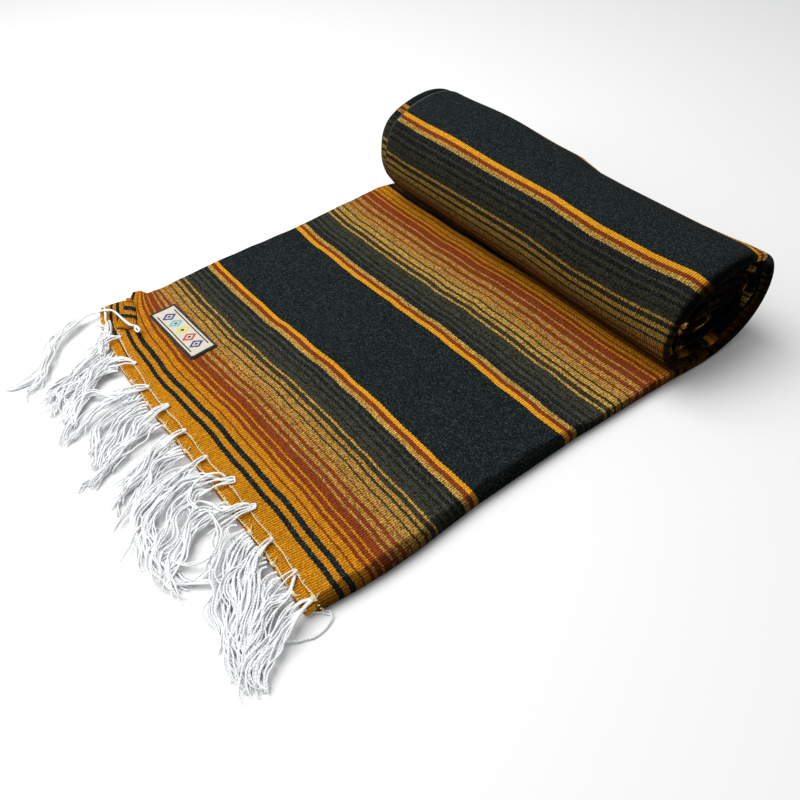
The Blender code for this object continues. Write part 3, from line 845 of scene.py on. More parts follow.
def pressed_height(y):
    """Most height that the roll leaves the flat leaves."""
    height = np.interp(y, ROLL_UNDERSIDE[:, 0], ROLL_UNDERSIDE[:, 1] - GAP)
    return np.where(y <= PRESS_FROM, FOLD_HEIGHT, height)


def open_edge(y):
    """Place across of the leaves' open edge."""
    return look_up(OPEN_EDGE, y - FRINGE_EDGE)


def folded_edge(y):
    """Place across of the near fold."""
    return look_up(FOLDED_EDGE, y - FRINGE_EDGE)


def stack_height(x, y):
    """Height of the four leaves, without swells and creases."""
    left = open_edge(y)
    share = np.clip((x - left) / (folded_edge(y) - FOLD_HEIGHT / 2 - left), 0, 1)
    return np.minimum(OPEN_HEIGHT + (FOLD_HEIGHT - OPEN_HEIGHT) * share, pressed_height(y))


def crease_height(x, along):
    """Soft ridges and troughs that run between two places on the cloth."""
    height = np.zeros(np.broadcast(x, along).shape)
    for x0, y0, x1, y1, half_width, rise in CREASES:
        run = np.array([x1 - x0, y1 - y0])
        share = np.clip(((x - x0) * run[0] + (along - y0) * run[1]) / (run @ run), 0, 1)
        distance = np.hypot(x - x0 - share * run[0], along - y0 - share * run[1])
        height = height + rise * smooth_bump(distance, half_width) * np.sin(pi * (0.12 + 0.76 * share))
    return height


RIPPLE = 0.00022  # height


def ripple(x, along):
    """Small unevenness of the cloth from its weaving, as crossing waves."""
    return RIPPLE * (
        np.sin(x * 190 + 2.1 * np.sin(along * 41)) * np.sin(along * 97 + 1.3 * np.sin(x * 37))
        + 0.6 * np.sin(x * 71 - along * 233 + 1.7)
    )


def top_height(x, y):
    """Height of the top leaf's upper face."""
    along = y - FRINGE_EDGE
    swell = sum(
        height * smooth_bump(x - across, half_width) * smooth_bump(along - middle, half_length)
        for across, middle, half_width, half_length, height in TOP_SWELLS
    )
    loose = ease((PRESS_FROM - y) / 0.02)
    return stack_height(x, y) + (swell + crease_height(x, along) + ripple(x, along)) * loose


def edge_sweep(x, y):
    """How far the open corner is drawn towards the roll, fading along the cloth."""
    across = np.maximum(0, (CORNER_SWEEP_FROM - x) / CORNER_SWEEP_WIDTH)
    fade = np.clip(1 - (y - FRINGE_EDGE) / SWEEP_FADE, 0, 1)
    return CORNER_SWEEP * across**2 * fade


def weft_shift(x, along):
    """How far towards the roll the weft has strayed here."""
    columns = [look_up(WEFT_SHIFT, x, place) for place in range(1, len(SHIFT_AT) + 1)]
    shift = columns[-1]
    for place in range(len(SHIFT_AT) - 1, 0, -1):
        before, after = SHIFT_AT[place - 1], SHIFT_AT[place]
        share = ease((along - before) / (after - before))
        within = columns[place - 1] + (columns[place] - columns[place - 1]) * share
        shift = np.where(along < after, within, shift)
    long_wave = 0.28 * np.sin(x * 118 + 2.2 * np.sin(along * 23))
    short_wave = 0.12 * np.sin(x * 290 + 1.9 * np.sin(along * 37) + 2)
    return (shift + (long_wave + short_wave) * ease(along / 0.01)) * MM


def edge_shift(x, along, leaf=TOP_LEAF):
    """How far a leaf is drawn towards the roll at its fringe edge, fading along the cloth."""
    return look_up(EDGE_SHIFT, x, leaf) * MM * ease(1 - along / EDGE_SHIFT_FADE)


def edge_lift(x, along):
    """The top leaf's edge rises a little between its knots."""
    share = np.interp(x, KNOTS, np.arange(len(KNOTS)))
    between = np.sin(pi * (share % 1)) ** 2
    uneven = 0.6 + 0.4 * np.sin(share * 2.4 + 0.7)
    return EDGE_LIFT * between * uneven * ease(1 - along / EDGE_LIFT_WIDTH)


def both_faces(lines, rows, place, side=1):
    """The two faces of a leaf whose middle runs along these lines, with each row set out by place."""
    return tuple(
        np.array([place(beside(line, way * side * CLOTH / 2), row) for line, row in zip(lines, rows)])
        for way in (1, -1)
    )


def middle_lengths(lines):
    """Distance across the cloth of each column, read from the middle row."""
    return lengths(lines[len(lines) // 2])


class SERAPE_OT_flat_leaf(bpy.types.Operator):
    """Lay the top and bottom leaves, joined round the near fold, from the fringe to the roll"""

    bl_idname = "serape.flat_leaf"
    bl_label = "Lay the flat leaves"

    def execute(self, context):
        scene = context.scene
        count = int(FLAT_RUN / scene.serape_cloth.spacing) + 1
        rows = np.linspace(FRINGE_EDGE, ROLL_Y - GAP, count)
        lines = [outer_leaf_line(y) for y in rows]
        across = middle_lengths(lines)
        outer, inner = both_faces(lines, rows, place_on_flat)
        cloth = np.array([cloth_row(across, line, y) for line, y in zip(lines, rows)])
        piece = leaf_mesh("flat_leaf", outer, inner, cloth, shared_weave(scene))
        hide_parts("outer_leaf_flat")
        return {"FINISHED"}


def squared(share):
    """Sines and cosines that make a squarer curve than a circle."""
    return np.sign(share) * np.abs(share) ** FOLD_SQUARENESS


def outer_leaf_line(y, bottom_columns=36, fold_steps=18, top_columns=176):
    """(x, height) along the bottom leaf, round the near fold, back along the top and over its edge."""
    left, fold = open_edge(y), folded_edge(y)
    height = stack_height(fold, y)
    drawn_in = left + (OUTER_SELVEDGE - ROLL_LEFT) * (y - FRINGE_EDGE) / FLAT_RUN
    middle = CLOTH / 2
    centre = fold - height / 2
    radius = height / 2 - middle
    angles = np.linspace(-pi / 2, pi / 2, fold_steps + 1)[1:-1]
    round_fold = radius * squared(together(np.cos(angles), np.sin(angles)))
    start = left + middle + LIP
    top_x = np.linspace(centre, start, top_columns)
    top_z = top_height(top_x, y) + edge_lift(top_x, y - FRINGE_EDGE) - middle
    over_lip = np.linspace(0, pi / 2, 5)[1:]
    return np.concatenate([
        together(np.linspace(drawn_in, centre, bottom_columns), middle),
        (centre, height / 2) + round_fold,
        together(top_x, top_z),
        together(start - LIP * np.sin(over_lip), top_z[-1] - LIP * (1 - np.cos(over_lip))),
        [(start - LIP, top_z[-1] - LIP - LIP_DROP * height)],
    ])


def place_on_flat(line, y, leaf=TOP_LEAF):
    """(x, height) pairs of one row set out on the cloth."""
    x, z = line[:, 0], line[:, 1]
    return together(x, y + edge_sweep(x, y) + edge_shift(x, y - FRINGE_EDGE, leaf), z)


def cloth_row(across, line, y):
    """Across, along and painted shade at each column of a row of the flat run."""
    x, along = line[:, 0], y - FRINGE_EDGE
    strayed = along + edge_shift(x, along) - weft_shift(x, along)
    # Painted shade in the crease under the roll, and on the near fold's side
    deep = CREASE_SHADE * ease((along - CREASE_SHADE_FROM) / CREASE_SHADE_WIDTH)
    waver = FOLD_WAVER * np.sin(along * 210) * np.sin(along * 57)
    side_from = folded_edge(y) - look_up(FOLD_SIDE, along) + waver
    down = 1 - line[:, 1] / stack_height(folded_edge(y), y)
    turned_down = ease((x - side_from) / FOLD_EDGE) * (FOLD_SHADE + (UNDER_SHADE - FOLD_SHADE) * down)
    return together(across, strayed, np.maximum(turned_down, deep))


class SERAPE_OT_tucked_leaf(bpy.types.Operator):
    """Tuck the second and third leaves, joined inside the near fold, under the top leaf"""

    bl_idname = "serape.tucked_leaf"
    bl_label = "Tuck the inner leaves"

    def execute(self, context):
        scene = context.scene
        begin = FRINGE_EDGE - SECOND_LEAF_SHOWS
        count = int((ROLL_Y - begin) / (2 * scene.serape_cloth.spacing)) + 1
        rows = np.concatenate([
            np.linspace(begin, FRINGE_EDGE + CLOSE_ROWS_REACH, CLOSE_ROWS)[:-1],
            np.linspace(FRINGE_EDGE + CLOSE_ROWS_REACH, ROLL_Y - GAP, count),
        ])
        lines = [tucked_line(y) for y in rows]
        across = middle_lengths(lines)
        outer, inner = both_faces(lines, rows, place_on_second_leaf, side=-1)
        cloth = np.array([second_leaf_row(across, line[:, 0], y - begin) for line, y in zip(lines, rows)])
        piece = leaf_mesh("tucked_leaf", outer, inner, cloth, shared_weave(scene))
        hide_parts("inner_leaves_flat")
        return {"FINISHED"}


def second_leaf_row(across, x, along):
    """Across, along and painted shade (none) at each column of a row of the tucked leaves."""
    shift = weft_shift(x, np.maximum(along, 0)) - edge_shift(x, along, SECOND_LEAF)
    lead = SECOND_LEAF_LEAD * ease((SECOND_LEAD_FROM - x) / SECOND_LEAD_WIDTH)
    return together(across + PAST_SELVEDGE, along - shift + lead, 0)


def place_on_second_leaf(line, y):
    return place_on_flat(line, y, SECOND_LEAF)


def tucked_line(y, columns=70):
    """(x, height) along the third leaf, round the inner fold and back along the second."""
    left = open_edge(y) + CLOTH + GAP + LIP
    fold = folded_edge(y)
    height = stack_height(fold, y)
    inset = CLOTH + GAP + CLOTH / 2
    centre = fold - height / 2
    x = np.linspace(left, centre, columns)
    back = together(x, stack_height(x, y) - inset)[::-1]
    return np.concatenate([
        together(x, inset), half_round(centre, height / 2, height / 2 - inset, 5), back,
    ])


def rolled_leaf(scene, name, rows, line_at, lead, painted_shade_at):
    """A leaf of the roll from its middle line at each row, and its flat width."""
    lines = [line_at(turns) for turns in rows]
    outer, inner = both_faces(lines, rows, place_on_roll)
    across = middle_lengths(lines)
    cloth = [
        together(across, along_roll(turns, line[:, 0]) + lead, painted_shade_at(turns, line[:, 0]))
        for turns, line in zip(rows, lines)
    ]
    piece = leaf_mesh(name, outer, inner, np.array(cloth), shared_weave(scene))
    return piece, round(across[-1], 3)


class SERAPE_OT_roll(bpy.types.Operator):
    """Wind the outer turn: the bottom leaf outside, the top leaf inside it and the tucked pair between"""

    bl_idname = "serape.roll"
    bl_label = "Wind the outer turn"

    def execute(self, context):
        scene = context.scene
        spacing = scene.serape_cloth.spacing * OUTER_ROW_SPACING
        rows = np.linspace(*OUTER_TURN, int(ROUND_LENGTH[-1] / TURNS / spacing) + 1)
        piece, width = rolled_leaf(scene, "roll_outer_leaf", rows, roll_leaf_line, 0, roll_painted_shade)
        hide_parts("outer_leaf_roll")
        rows = np.linspace(*OUTER_TURN, TUCKED_ROWS)
        piece, width = rolled_leaf(
            scene, "roll_tucked_leaf", rows, roll_tucked_line, TUCKED_LEAD, tucked_painted_shade,
        )
        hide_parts("inner_leaves_roll")
        return {"FINISHED"}


def tucked_painted_shade(turns, x):
    """Painted shade of the tucked leaves, which lie in the outer one's shade."""
    return np.maximum(roll_painted_shade(turns, x), UNDER_EDGE_SHADE)


def place_on_roll(line, turns):
    """(x, depth) pairs of one row set out on the roll."""
    x, depth = line[:, 0], line[:, 1]
    return together(x, *roll_point(np.full(len(x), turns), depth, x))


def roll_leaf_line(turns, outer_columns=178, fold_points=11, inner_columns=24):
    """(x, depth) along the fourth leaf, round the near fold and back under it."""
    skew = end_skew(turns)
    middle = CLOTH / 2
    centre = NEAR_FOLD - STRIP / 2
    reach = OUTER_EDGE_REACH * smooth_bump(turns - OUTER_EDGE_AT, OUTER_EDGE_TURNS)
    start = ROLL_LEFT + skew + middle + LIP
    over_lip = np.linspace(0, pi / 2, 4)[1:]
    return np.concatenate([
        together(np.linspace(OUTER_SELVEDGE + skew - reach, centre, outer_columns), middle),
        half_round(centre, STRIP / 2, STRIP / 2 - middle, fold_points),
        together(np.linspace(centre, start, inner_columns), STRIP - middle),
        together(start - LIP * np.sin(over_lip), STRIP - middle - LIP * (1 - np.cos(over_lip))),
    ])


def roll_tucked_line(turns, columns=60):
    """(x, depth) along the third leaf, round the inner fold and back along the second."""
    third = CLOTH + GAP + CLOTH / 2
    second = STRIP - third
    half = (second - third) / 2
    centre = NEAR_FOLD - STRIP / 2
    x = np.linspace(ROLL_LEFT + end_skew(turns), centre, columns)
    return np.concatenate([
        together(x, third), half_round(centre, third + half, half, 3), together(x[:0:-1], second),
    ])


class SERAPE_OT_inner_turns(bpy.types.Operator):
    """Wind the turns inside the outer one, all four leaves of them, and fold the heart"""

    bl_idname = "serape.inner_turns"
    bl_label = "Wind the inner turns"

    def execute(self, context):
        scene = context.scene
        rows = np.linspace(*INNER_TURNS, INNER_ROWS)
        piece, width = rolled_leaf(
            scene, "roll_inner_turns", rows, zigzag_line, INNER_LEAD, inner_painted_shade,
        )
        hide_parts("inner_turns")
        self.heart(scene)
        return {"FINISHED"}

    def heart(self, scene):
        """The strip's last stretch, doubled back on itself in the middle."""
        half = CORE_HALF_HEIGHT * HEART_HEIGHT
        reach = CORE_HALF_DEPTH * HEART_DEPTH
        run = np.linspace(-reach, reach, HEART_RUN_ROWS)
        path = np.concatenate([
            together(run, -half), half_round(reach, 0, half, HEART_BEND_ROWS), together(run[::-1], half),
        ])
        steps = unit(np.gradient(path, axis=0))
        squeeze = 2 * (half - GAP) / STRIP
        lines = [zigzag_line(TURNS)] * len(path)

        def place_in_heart(line, row):
            off = (STRIP / 2 - line[:, 1]) * squeeze
            y = ROLL_Y + path[row, 0] + off * steps[row, 1]
            return together(line[:, 0], y, ROLL_AXIS_HEIGHT + path[row, 1] - off * steps[row, 0])

        outer, inner = both_faces(lines, range(len(path)), place_in_heart)
        across = middle_lengths(lines)
        travelled = lengths(path)
        base = along_roll(TURNS - SAME_TURN, np.array([0.0]))[0]
        cloth = np.array([together(across, base + there, HEART_SHADE) for there in travelled])
        piece = leaf_mesh("roll_heart_leaves", outer, inner, cloth, shared_weave(scene))
        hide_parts("roll_heart")


# Painted shade of the inner turns, deep in the roll
INNER_SHADE = 0.99
# Stretches of painted light on the inner turns' folds
LIGHT_PATCHES = (  # of the inner turns: turns, half width in turns, how light
    (1.01, 0.025, 0.45),
    (1.12, 0.010, 0.40),
    (1.74, 0.080, 0.78),
    (1.89, 0.040, 0.22),
    (2.02, 0.035, 0.60),
    (2.21, 0.030, 0.50),
    (2.345, 0.020, 0.50),
    (2.90, 0.080, 0.60),
    (3.02, 0.040, 0.70),
    (3.24, 0.030, 0.50),
    (4.79, 0.090, 0.90),
    (4.99, 0.060, 0.80),
    (5.77, 0.080, 1.80),
)


def inner_painted_shade(turns, x):
    """Painted shade of the inner turns, but for painted light on a few stretches of their folds."""
    return INNER_SHADE - sum(light * smooth_bump(turns - at, half) for at, half, light in LIGHT_PATCHES)


def zigzag_line(turns):
    """(x, depth) through all four leaves of the strip."""
    fold = NEAR_FOLD - float(np.interp(turns, range(len(FOLD_RECESS)), FOLD_RECESS))
    for depth, pitch, phase in ((0.0022, 23.0, floor(turns)), (0.0012, 61.0, 0)):
        fold -= depth * (0.5 + 0.5 * sin(turns * pitch + phase))
    skew = end_skew(turns) + 0.002 * sin(tau * turns / 2.3)
    step = CLOTH + (STRIP - 4 * CLOTH) / 3
    fourth, first, second, third = (CLOTH / 2 + step * leaf for leaf in (0, 3, 2, 1))
    centre = fold - STRIP / 2
    selvedge, open_end = OUTER_SELVEDGE + skew, ROLL_LEFT + skew
    tucked = open_end + step
    span = np.array([0, 0.02, 0.05, 0.12, 0.3, 0.6, 0.85, 0.95, 1])
    big, small, at_open = (first - fourth) / 2, (second - third) / 2, (first - second) / 2
    return np.concatenate([
        together(selvedge + (centre - selvedge) * span, fourth),
        half_round(centre, fourth + big, big, 8),
        together(centre + (tucked - centre) * span[1:], first),
        half_round(tucked, first - at_open, -at_open, 3),
        together(tucked + (centre - tucked) * span[1:-1], second),
        half_round(centre, third + small, small, 3)[::-1],
        together(centre + (open_end - centre) * span[1:], third),
    ])


# ---- the turned corner

# Corner of the top leaf turned over: its crease and its free side, each across and along
TURNED_CORNER = (
    ((-0.1918, 0.0296), (-0.1870, 0.0334)),
    ((-0.1845, 0.0252), (-0.1730, 0.0308)),
    ((-0.1736, 0.0158), (-0.1600, 0.0262)),
    ((-0.1631, 0.0088), (-0.1478, 0.0205)),
    ((-0.1572, 0.0066), (-0.1495, 0.0141)),
)
CORNER_RUN, CORNER_WIDTH = 0.040, 0.016  # along its crease and across it
CORNER_NEAR_END = -0.0037  # where the near end lies along the weave
CORNER_ACROSS = 0.010  # where its crease lies across the weave
CORNER_ROUND, CORNER_ROUND_SHARE = 0.0016, 0.10  # how deep and wide its crease is rounded
CORNER_LIFT, CORNER_WAVER, CORNER_WAVE = 0.0016, 0.0004, 3.1
# Painted shade on the turned corner, with more along its crease over this share of its width
CORNER_SHADE, CREASE_DARK, CREASE_DARK_SHARE = 0.10, 0.35, 0.15


class SERAPE_OT_corner(bpy.types.Operator):
    """Turn the top leaf's open corner over on itself"""

    bl_idname = "serape.corner"
    bl_label = "Turn the corner"

    def execute(self, context):
        scene = context.scene
        rows, columns = 44, 26
        sides = np.array(TURNED_CORNER)
        places = range(len(sides))
        at = np.linspace(0, len(sides) - 1, rows)[:, None]
        share = np.linspace(0, 1, columns)
        x, y = (
            np.interp(at, places, sides[:, 0, axis]) * (1 - share)
            + np.interp(at, places, sides[:, 1, axis]) * share
            for axis in (0, 1)
        )
        y = FRINGE_EDGE + y
        rounded = CORNER_ROUND * np.maximum(0, 1 - share / CORNER_ROUND_SHARE) ** 2
        lift = CORNER_LIFT * np.sin(pi * share) ** 0.5 + CORNER_WAVER * np.sin(at * CORNER_WAVE) * share
        level = top_height(x, y) + GAP - rounded
        outer = np.stack([x, y, level + CLOTH + lift], axis=-1)
        inner = np.stack([x, y, level + lift * 0.6], axis=-1)
        along = CORNER_RUN * (1 - at / at[-1]) + CORNER_NEAR_END + 0.0006 * np.sin(share * 5)
        across = CORNER_ACROSS + share * CORNER_WIDTH
        painted_shade = CORNER_SHADE + CREASE_DARK * np.maximum(0, 1 - share / CREASE_DARK_SHARE)
        cloth = np.stack(np.broadcast_arrays(across, along, painted_shade), axis=-1)
        piece = leaf_mesh("turned_corner_leaf", outer, inner, cloth, shared_weave(scene))
        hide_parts("turned_corner")
        return {"FINISHED"}


# ---- the label

LABEL_CENTRE = (-0.1152, 0.0502)  # across, and from the fringe edge
LABEL_HALF = (0.0384, 0.0118)
LABEL_TURN = 0.045  # sewn on a little askew, in radians
LABEL_BORDER = 0.0016  # width of its overcast edge
LABEL_THICK = 0.0014
LABEL_CLEAR = 0.0001  # more than the usual gap under it
STITCH_PITCH, STITCH_RADIUS = 0.00085, 0.00045  # of the overcasting
STITCH_SLANT, STITCH_OVERHANG, STITCH_DROP = 0.0004, 0.0007, 0.0013
LABEL_STITCH = 0.00055  # one loop of its own weave
LOZENGE_PITCH = 0.0125  # between the five lozenges
LOZENGE_ROW = 0.0312  # half the length of their row
LOZENGE_HALF, LOZENGE_HOLE, LOZENGE_CORE = 0.0056, 0.0032, 0.0016
LOZENGE_HEIGHT = 0.8  # their slope: below 1, a lozenge is taller than wide
LABEL_LINE, LINE_HALF = 0.0083, 0.0005  # the thin lines over and under them


class SERAPE_OT_label(bpy.types.Operator):
    """Sew on the woven label, whose edge another step overcasts"""

    bl_idname = "serape.label"
    bl_label = "Sew on the label"

    def execute(self, context):
        rows, columns = 26, 80
        across, up = np.meshgrid(np.linspace(-1, 1, columns), np.linspace(-1, 1, rows))
        right, above = across * LABEL_HALF[0], up * LABEL_HALF[1]
        x, y, z = label_place(right, above)
        outer = np.stack([x, y, z + LABEL_THICK], axis=-1)
        inner = np.stack([x, y, z + LABEL_CLEAR], axis=-1)
        cloth = np.stack([right, above, np.zeros(x.shape)], axis=-1)
        piece = leaf_mesh("woven_label", outer, inner, cloth, label_finish(), LABEL_THICK)
        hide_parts("label_patch")
        return {"FINISHED"}


class SERAPE_OT_label_border(bpy.types.Operator):
    """Overcast the label's edge"""

    bl_idname = "serape.label_border"
    bl_label = "Overcast the label"

    def execute(self, context):
        label_border()
        return {"FINISHED"}


def label_place(right, above):
    """Where a place on the label comes to lie."""
    x = LABEL_CENTRE[0] + right - above * LABEL_TURN
    y = FRINGE_EDGE + LABEL_CENTRE[1] + above + right * LABEL_TURN
    return x, y, top_height(x, y) + GAP


def label_border():
    """Black thread wound over the label's edge, stitch beside stitch."""
    corners = np.array([(-1, -1), (1, -1), (1, 1), (-1, 1)]) * LABEL_HALF
    lines = []
    random = np.random.default_rng(5)
    for first, second in zip(corners, np.roll(corners, -1, axis=0)):
        length = np.linalg.norm(second - first)
        run = (second - first) / length
        inward = np.array([-run[1], run[0]])
        for stitch in np.arange(STITCH_PITCH / 2, length, STITCH_PITCH):
            depth = LABEL_BORDER * random.uniform(0.92, 1.08)
            share = np.linspace(0, 1, 5)[:, None]
            place = first + run * stitch + inward * (depth * (1 - share) - STITCH_OVERHANG)
            x, y, z = label_place(*(place + run * STITCH_SLANT * share).T)
            rise = LABEL_THICK + GAP - STITCH_DROP * share[:, 0] ** 4
            lines.append(together(x, y, z + rise))
    thread = yarn_finish("black_thread", srgb(24, 24, 26), 0.0012, 0.0001)
    piece = strand_mesh("label_border", lines, [STITCH_RADIUS] * len(lines), thread, 5)


def label_finish():
    """Fine twill: one row of outlined lozenges between two thin lines, inside a black border."""
    finish = Finish("label_weave", Roughness=0.7, Sheen_Weight=0.1, Specular_IOR_Level=0.35)
    across, up = finish.coordinates("cloth")[:2]
    column = (across / LABEL_STITCH).floor()
    row = (up / LABEL_STITCH).floor()
    x, y = (column + 0.5) * LABEL_STITCH, (row + 0.5) * LABEL_STITCH
    ground, ink = opaque(srgb(221, 213, 194)), opaque(srgb(26, 26, 28))
    cell = (x / LOZENGE_PITCH + 4.5).floor()
    cell_x = ((x / LOZENGE_PITCH + 0.5).fraction() - 0.5) * LOZENGE_PITCH
    stops = [  # yellow, red, navy and turquoise in turn
        (0, opaque(srgb(226, 214, 92))), (0.25, opaque(srgb(206, 66, 62))),
        (0.5, opaque(srgb(44, 62, 142))), (0.75, opaque(srgb(84, 190, 196))),
    ]
    settings = {"stops": stops, "interpolation": "CONSTANT"}
    dye = finish.add("ShaderNodeValToRGB", settings, {"Fac": (cell % 4) / 4 + 0.05})
    off = cell_x.size() + y.size() * LOZENGE_HEIGHT
    in_row = x.size() < LOZENGE_ROW
    outline_mask = ((off < LOZENGE_HALF) - (off < LOZENGE_HOLE)) * in_row
    core = (off < LOZENGE_CORE) * in_row
    lines = ((y.size() - LABEL_LINE).size() < LINE_HALF) * in_row
    colour = finish.mix(core + lines, finish.mix(outline_mask, ground, dye), ink)
    inside_x = x.size() < LABEL_HALF[0] - LABEL_BORDER
    inside_y = y.size() < LABEL_HALF[1] - LABEL_BORDER
    colour = finish.mix(inside_x * inside_y, ink, colour)
    # Painted light on each loop of the weave, brighter at its top, and a random tone for each loop
    chance = finish.dice(finish.point(column, row, 2))
    bead = ((across / LABEL_STITCH).fraction() * pi).sine() * ((up / LABEL_STITCH).fraction() * pi).sine()
    lit = (0.80 + 0.25 * bead) * (0.92 + 0.16 * chance)
    finish.feed(Base_Color=finish.shade(colour, lit))
    finish.feed(Normal=finish.bump(bead + chance * 0.3, 0.00012, 0.8))
    return finish.material


# ---- the fringe

FOLDED_BACK_BEFORE = -0.165  # where the turned corner leaves only the second leaf's edge
LOCK_YARNS = 4  # yarns that run together through a tassel
LOCK_BENDS = ((0.060, 0.0026), (0.030, 0.0012))  # pitch and size of their shared waves
OWN_BENDS = ((0.040, 0.0011), (0.018, 0.00038))  # and of each yarn's own
STRAYS = 0.22  # share of yarns that leave their lock
LOCK_LENGTHS, YARN_LENGTHS = (0.80, 1.10), (0.92, 1.04)  # of the tassel's, and of its lock's
YARN_THICKNESSES = (0.75, 1.2)  # of the usual one
SIDE_KEPT = 0.3  # how far a lock is still on its own side of the tassel at its tip
LOCK_WANDERS, YARN_WANDERS = 0.9, 1.2  # and how far it strays there, in half widths of the tassel
OPENS_OVER = 0.016  # length over which a tassel opens
MEET_FROM, MEET_SHARE = 0.6, 0.30  # from here on it closes again, and by how much
YARNS_BUNCHED, YARNS_OPEN = 0.0002, 0.0011  # between the yarns of a lock: at its root, and added past it
LOCK_CLOSES_FROM, LOCK_CLOSES = 0.5, 0.7
CURLED, CURLS, CURL_FROM = 0.2, (0.002, 0.009), 0.72  # share of yarns, how far, and from where
HEAP_UNEVEN, HEAP_SINKS = 0.12, 0.6  # of the heap's thickness: each yarn's own, and lost by the tips
BOB, BOBS = 0.0012, (0.8, 2.2)  # height and number of a yarn's waves over the floor
TAPER_FROM, TAPER = 0.92, 0.5
YARN_POINTS = 34
TIP_HEIGHT = 0.0015
GUIDE_STEP = 0.0015  # along a tassel's middle line
REACH_ACROSS, REACH_ROOM = 0.200, 0.0200  # yarns past these limits are pressed into the room beyond
REACH_AHEAD, REACH_AHEAD_ROOM = 0.256, 0.014


def knot_place(across):
    """Where a tassel leaves the top edge: across, along and height."""
    x = min(across, folded_edge(FRINGE_EDGE) - FOLD_HEIGHT / 2)
    height = float(top_height(np.array(x), FRINGE_EDGE))
    if x < FOLDED_BACK_BEFORE:
        return x, edge_line(x, SECOND_LEAF_SHOWS), height - CLOTH - GAP
    return x, edge_line(x), height


def lower_root(across):
    """Where a tassel leaves the second leaf's edge."""
    height = float(top_height(np.array(across), FRINGE_EDGE))
    return across, edge_line(across, SECOND_LEAF_SHOWS), height - 2 * CLOTH - 2 * GAP


def edge_line(x, back=0.0):
    """Place along of a leaf's fringe edge, a distance short of the top leaf's."""
    leaf = SECOND_LEAF if back else TOP_LEAF
    return float(FRINGE_EDGE - back + edge_sweep(x, FRINGE_EDGE) + edge_shift(x, 0.0, leaf))


class TasselRow:
    """How the tassels of one row leave the cloth."""

    def __init__(self, root_spread, bunched, middle, pile):
        self.root_spread = root_spread  # half width at the cloth
        self.bunched = bunched  # length before a tassel opens
        self.middle = middle  # height over the floor once it is clear of the cloth
        self.pile = pile  # thickness of its heap there


TOP_ROW = TasselRow(0.0005, 0.009, 0.0085, 0.0045)
LOWER_ROW = TasselRow(0.0075, 0.0, 0.0070, 0.0060)


def tassel_guide(root, length, ways, row):
    """Middle line of a tassel, and a little beyond its end."""
    at = np.arange(0, length * 1.3, GUIDE_STEP)
    share = at / length
    way = np.radians(np.interp(share, np.linspace(0, 1, len(ways)), ways))
    x = root[0] + np.cumsum(np.cos(way)) * GUIDE_STEP
    y = root[1] + np.cumsum(np.sin(way)) * GUIDE_STEP
    z = np.interp(share, (0, 0.08, 0.33, 1), (root[2], root[2] + 0.0008, row.middle, TIP_HEIGHT))
    return at, np.column_stack([x, y, z]), np.column_stack([-np.sin(way), np.cos(way)])


def bends(random, waves):
    """Waves of a yarn to its sides: pitch, size and phase."""
    return [
        (pitch * random.uniform(0.75, 1.3), size * random.normal(0, 0.8), random.random())
        for pitch, size in waves
    ]


def bent(waves, at):
    """How far to its side those waves take a yarn, from nothing at its root."""
    return sum(
        size * (np.sin(tau * (at / pitch + phase)) - sin(tau * phase)) for pitch, size, phase in waves
    )


def late(share, start):
    """From nothing at this share of the length to one at its end."""
    return ease((share - start) / (1 - start))


def tassel_yarns(root, tassel, row, fringe, random):
    """Yarns of one tassel, along its path in locks that part, cross and meet again at their tips."""
    length, half_width, count, ways = tassel[1:]
    half_width = half_width * MM * fringe.spread
    reach = length * MM
    travelled, guide, sides = tassel_guide(root, reach, ways, row)
    lines, radii = [], []
    locks = max(1, round(count * fringe.fullness / LOCK_YARNS))
    for lock in range(locks):
        shared = bends(random, LOCK_BENDS)
        start_side = 2 * (lock + 0.5) / locks - 1
        end_side = start_side * SIDE_KEPT + random.uniform(-LOCK_WANDERS, LOCK_WANDERS)
        lock_length = reach * random.uniform(*LOCK_LENGTHS)
        layer = random.uniform(-0.5, 0.5)
        for yarn in range(LOCK_YARNS):
            length = lock_length * random.uniform(*YARN_LENGTHS)
            at = np.linspace(0, length, YARN_POINTS)
            share = at / length
            freed = ease((at - row.bunched) / OPENS_OVER)
            strays = random.random() < STRAYS
            own_end = random.uniform(-YARN_WANDERS, YARN_WANDERS) if strays else end_side
            across_tassel = start_side + (own_end - start_side) * ease(share)
            opened = row.root_spread + (half_width - row.root_spread) * freed
            off = across_tassel * opened * (1 - MEET_SHARE * late(share, MEET_FROM))
            rank = yarn - (LOCK_YARNS - 1) / 2
            closed = LOCK_CLOSES * late(share, LOCK_CLOSES_FROM)
            off = off + rank * (YARNS_BUNCHED + YARNS_OPEN * freed * (1 - closed))
            off = off + freed * (bent(shared, at) + bent(bends(random, OWN_BENDS), at))
            curl = random.choice((-1, 1)) * random.uniform(*CURLS) * (random.random() < CURLED)
            off = off + curl * late(share, CURL_FROM) ** 2
            place = [np.interp(at, travelled, guide[:, axis]) for axis in range(3)]
            out = [np.interp(at, travelled, sides[:, axis]) for axis in range(2)]
            thickness = fringe.thickness / 2 * random.uniform(*YARN_THICKNESSES)
            heap = row.pile * (layer + HEAP_UNEVEN * random.normal()) * freed * (1 - HEAP_SINKS * share)
            bob = BOB * np.sin(tau * (random.uniform(*BOBS) * share + random.random())) * freed
            z = np.maximum(place[2] + heap + bob, thickness)
            line = np.column_stack([place[0] + off * out[0], place[1] + off * out[1], z])
            lines.append(kept_near(line))
            radii.append(thickness * (1 - TAPER * late(share, TAPER_FROM)))
    return lines, radii


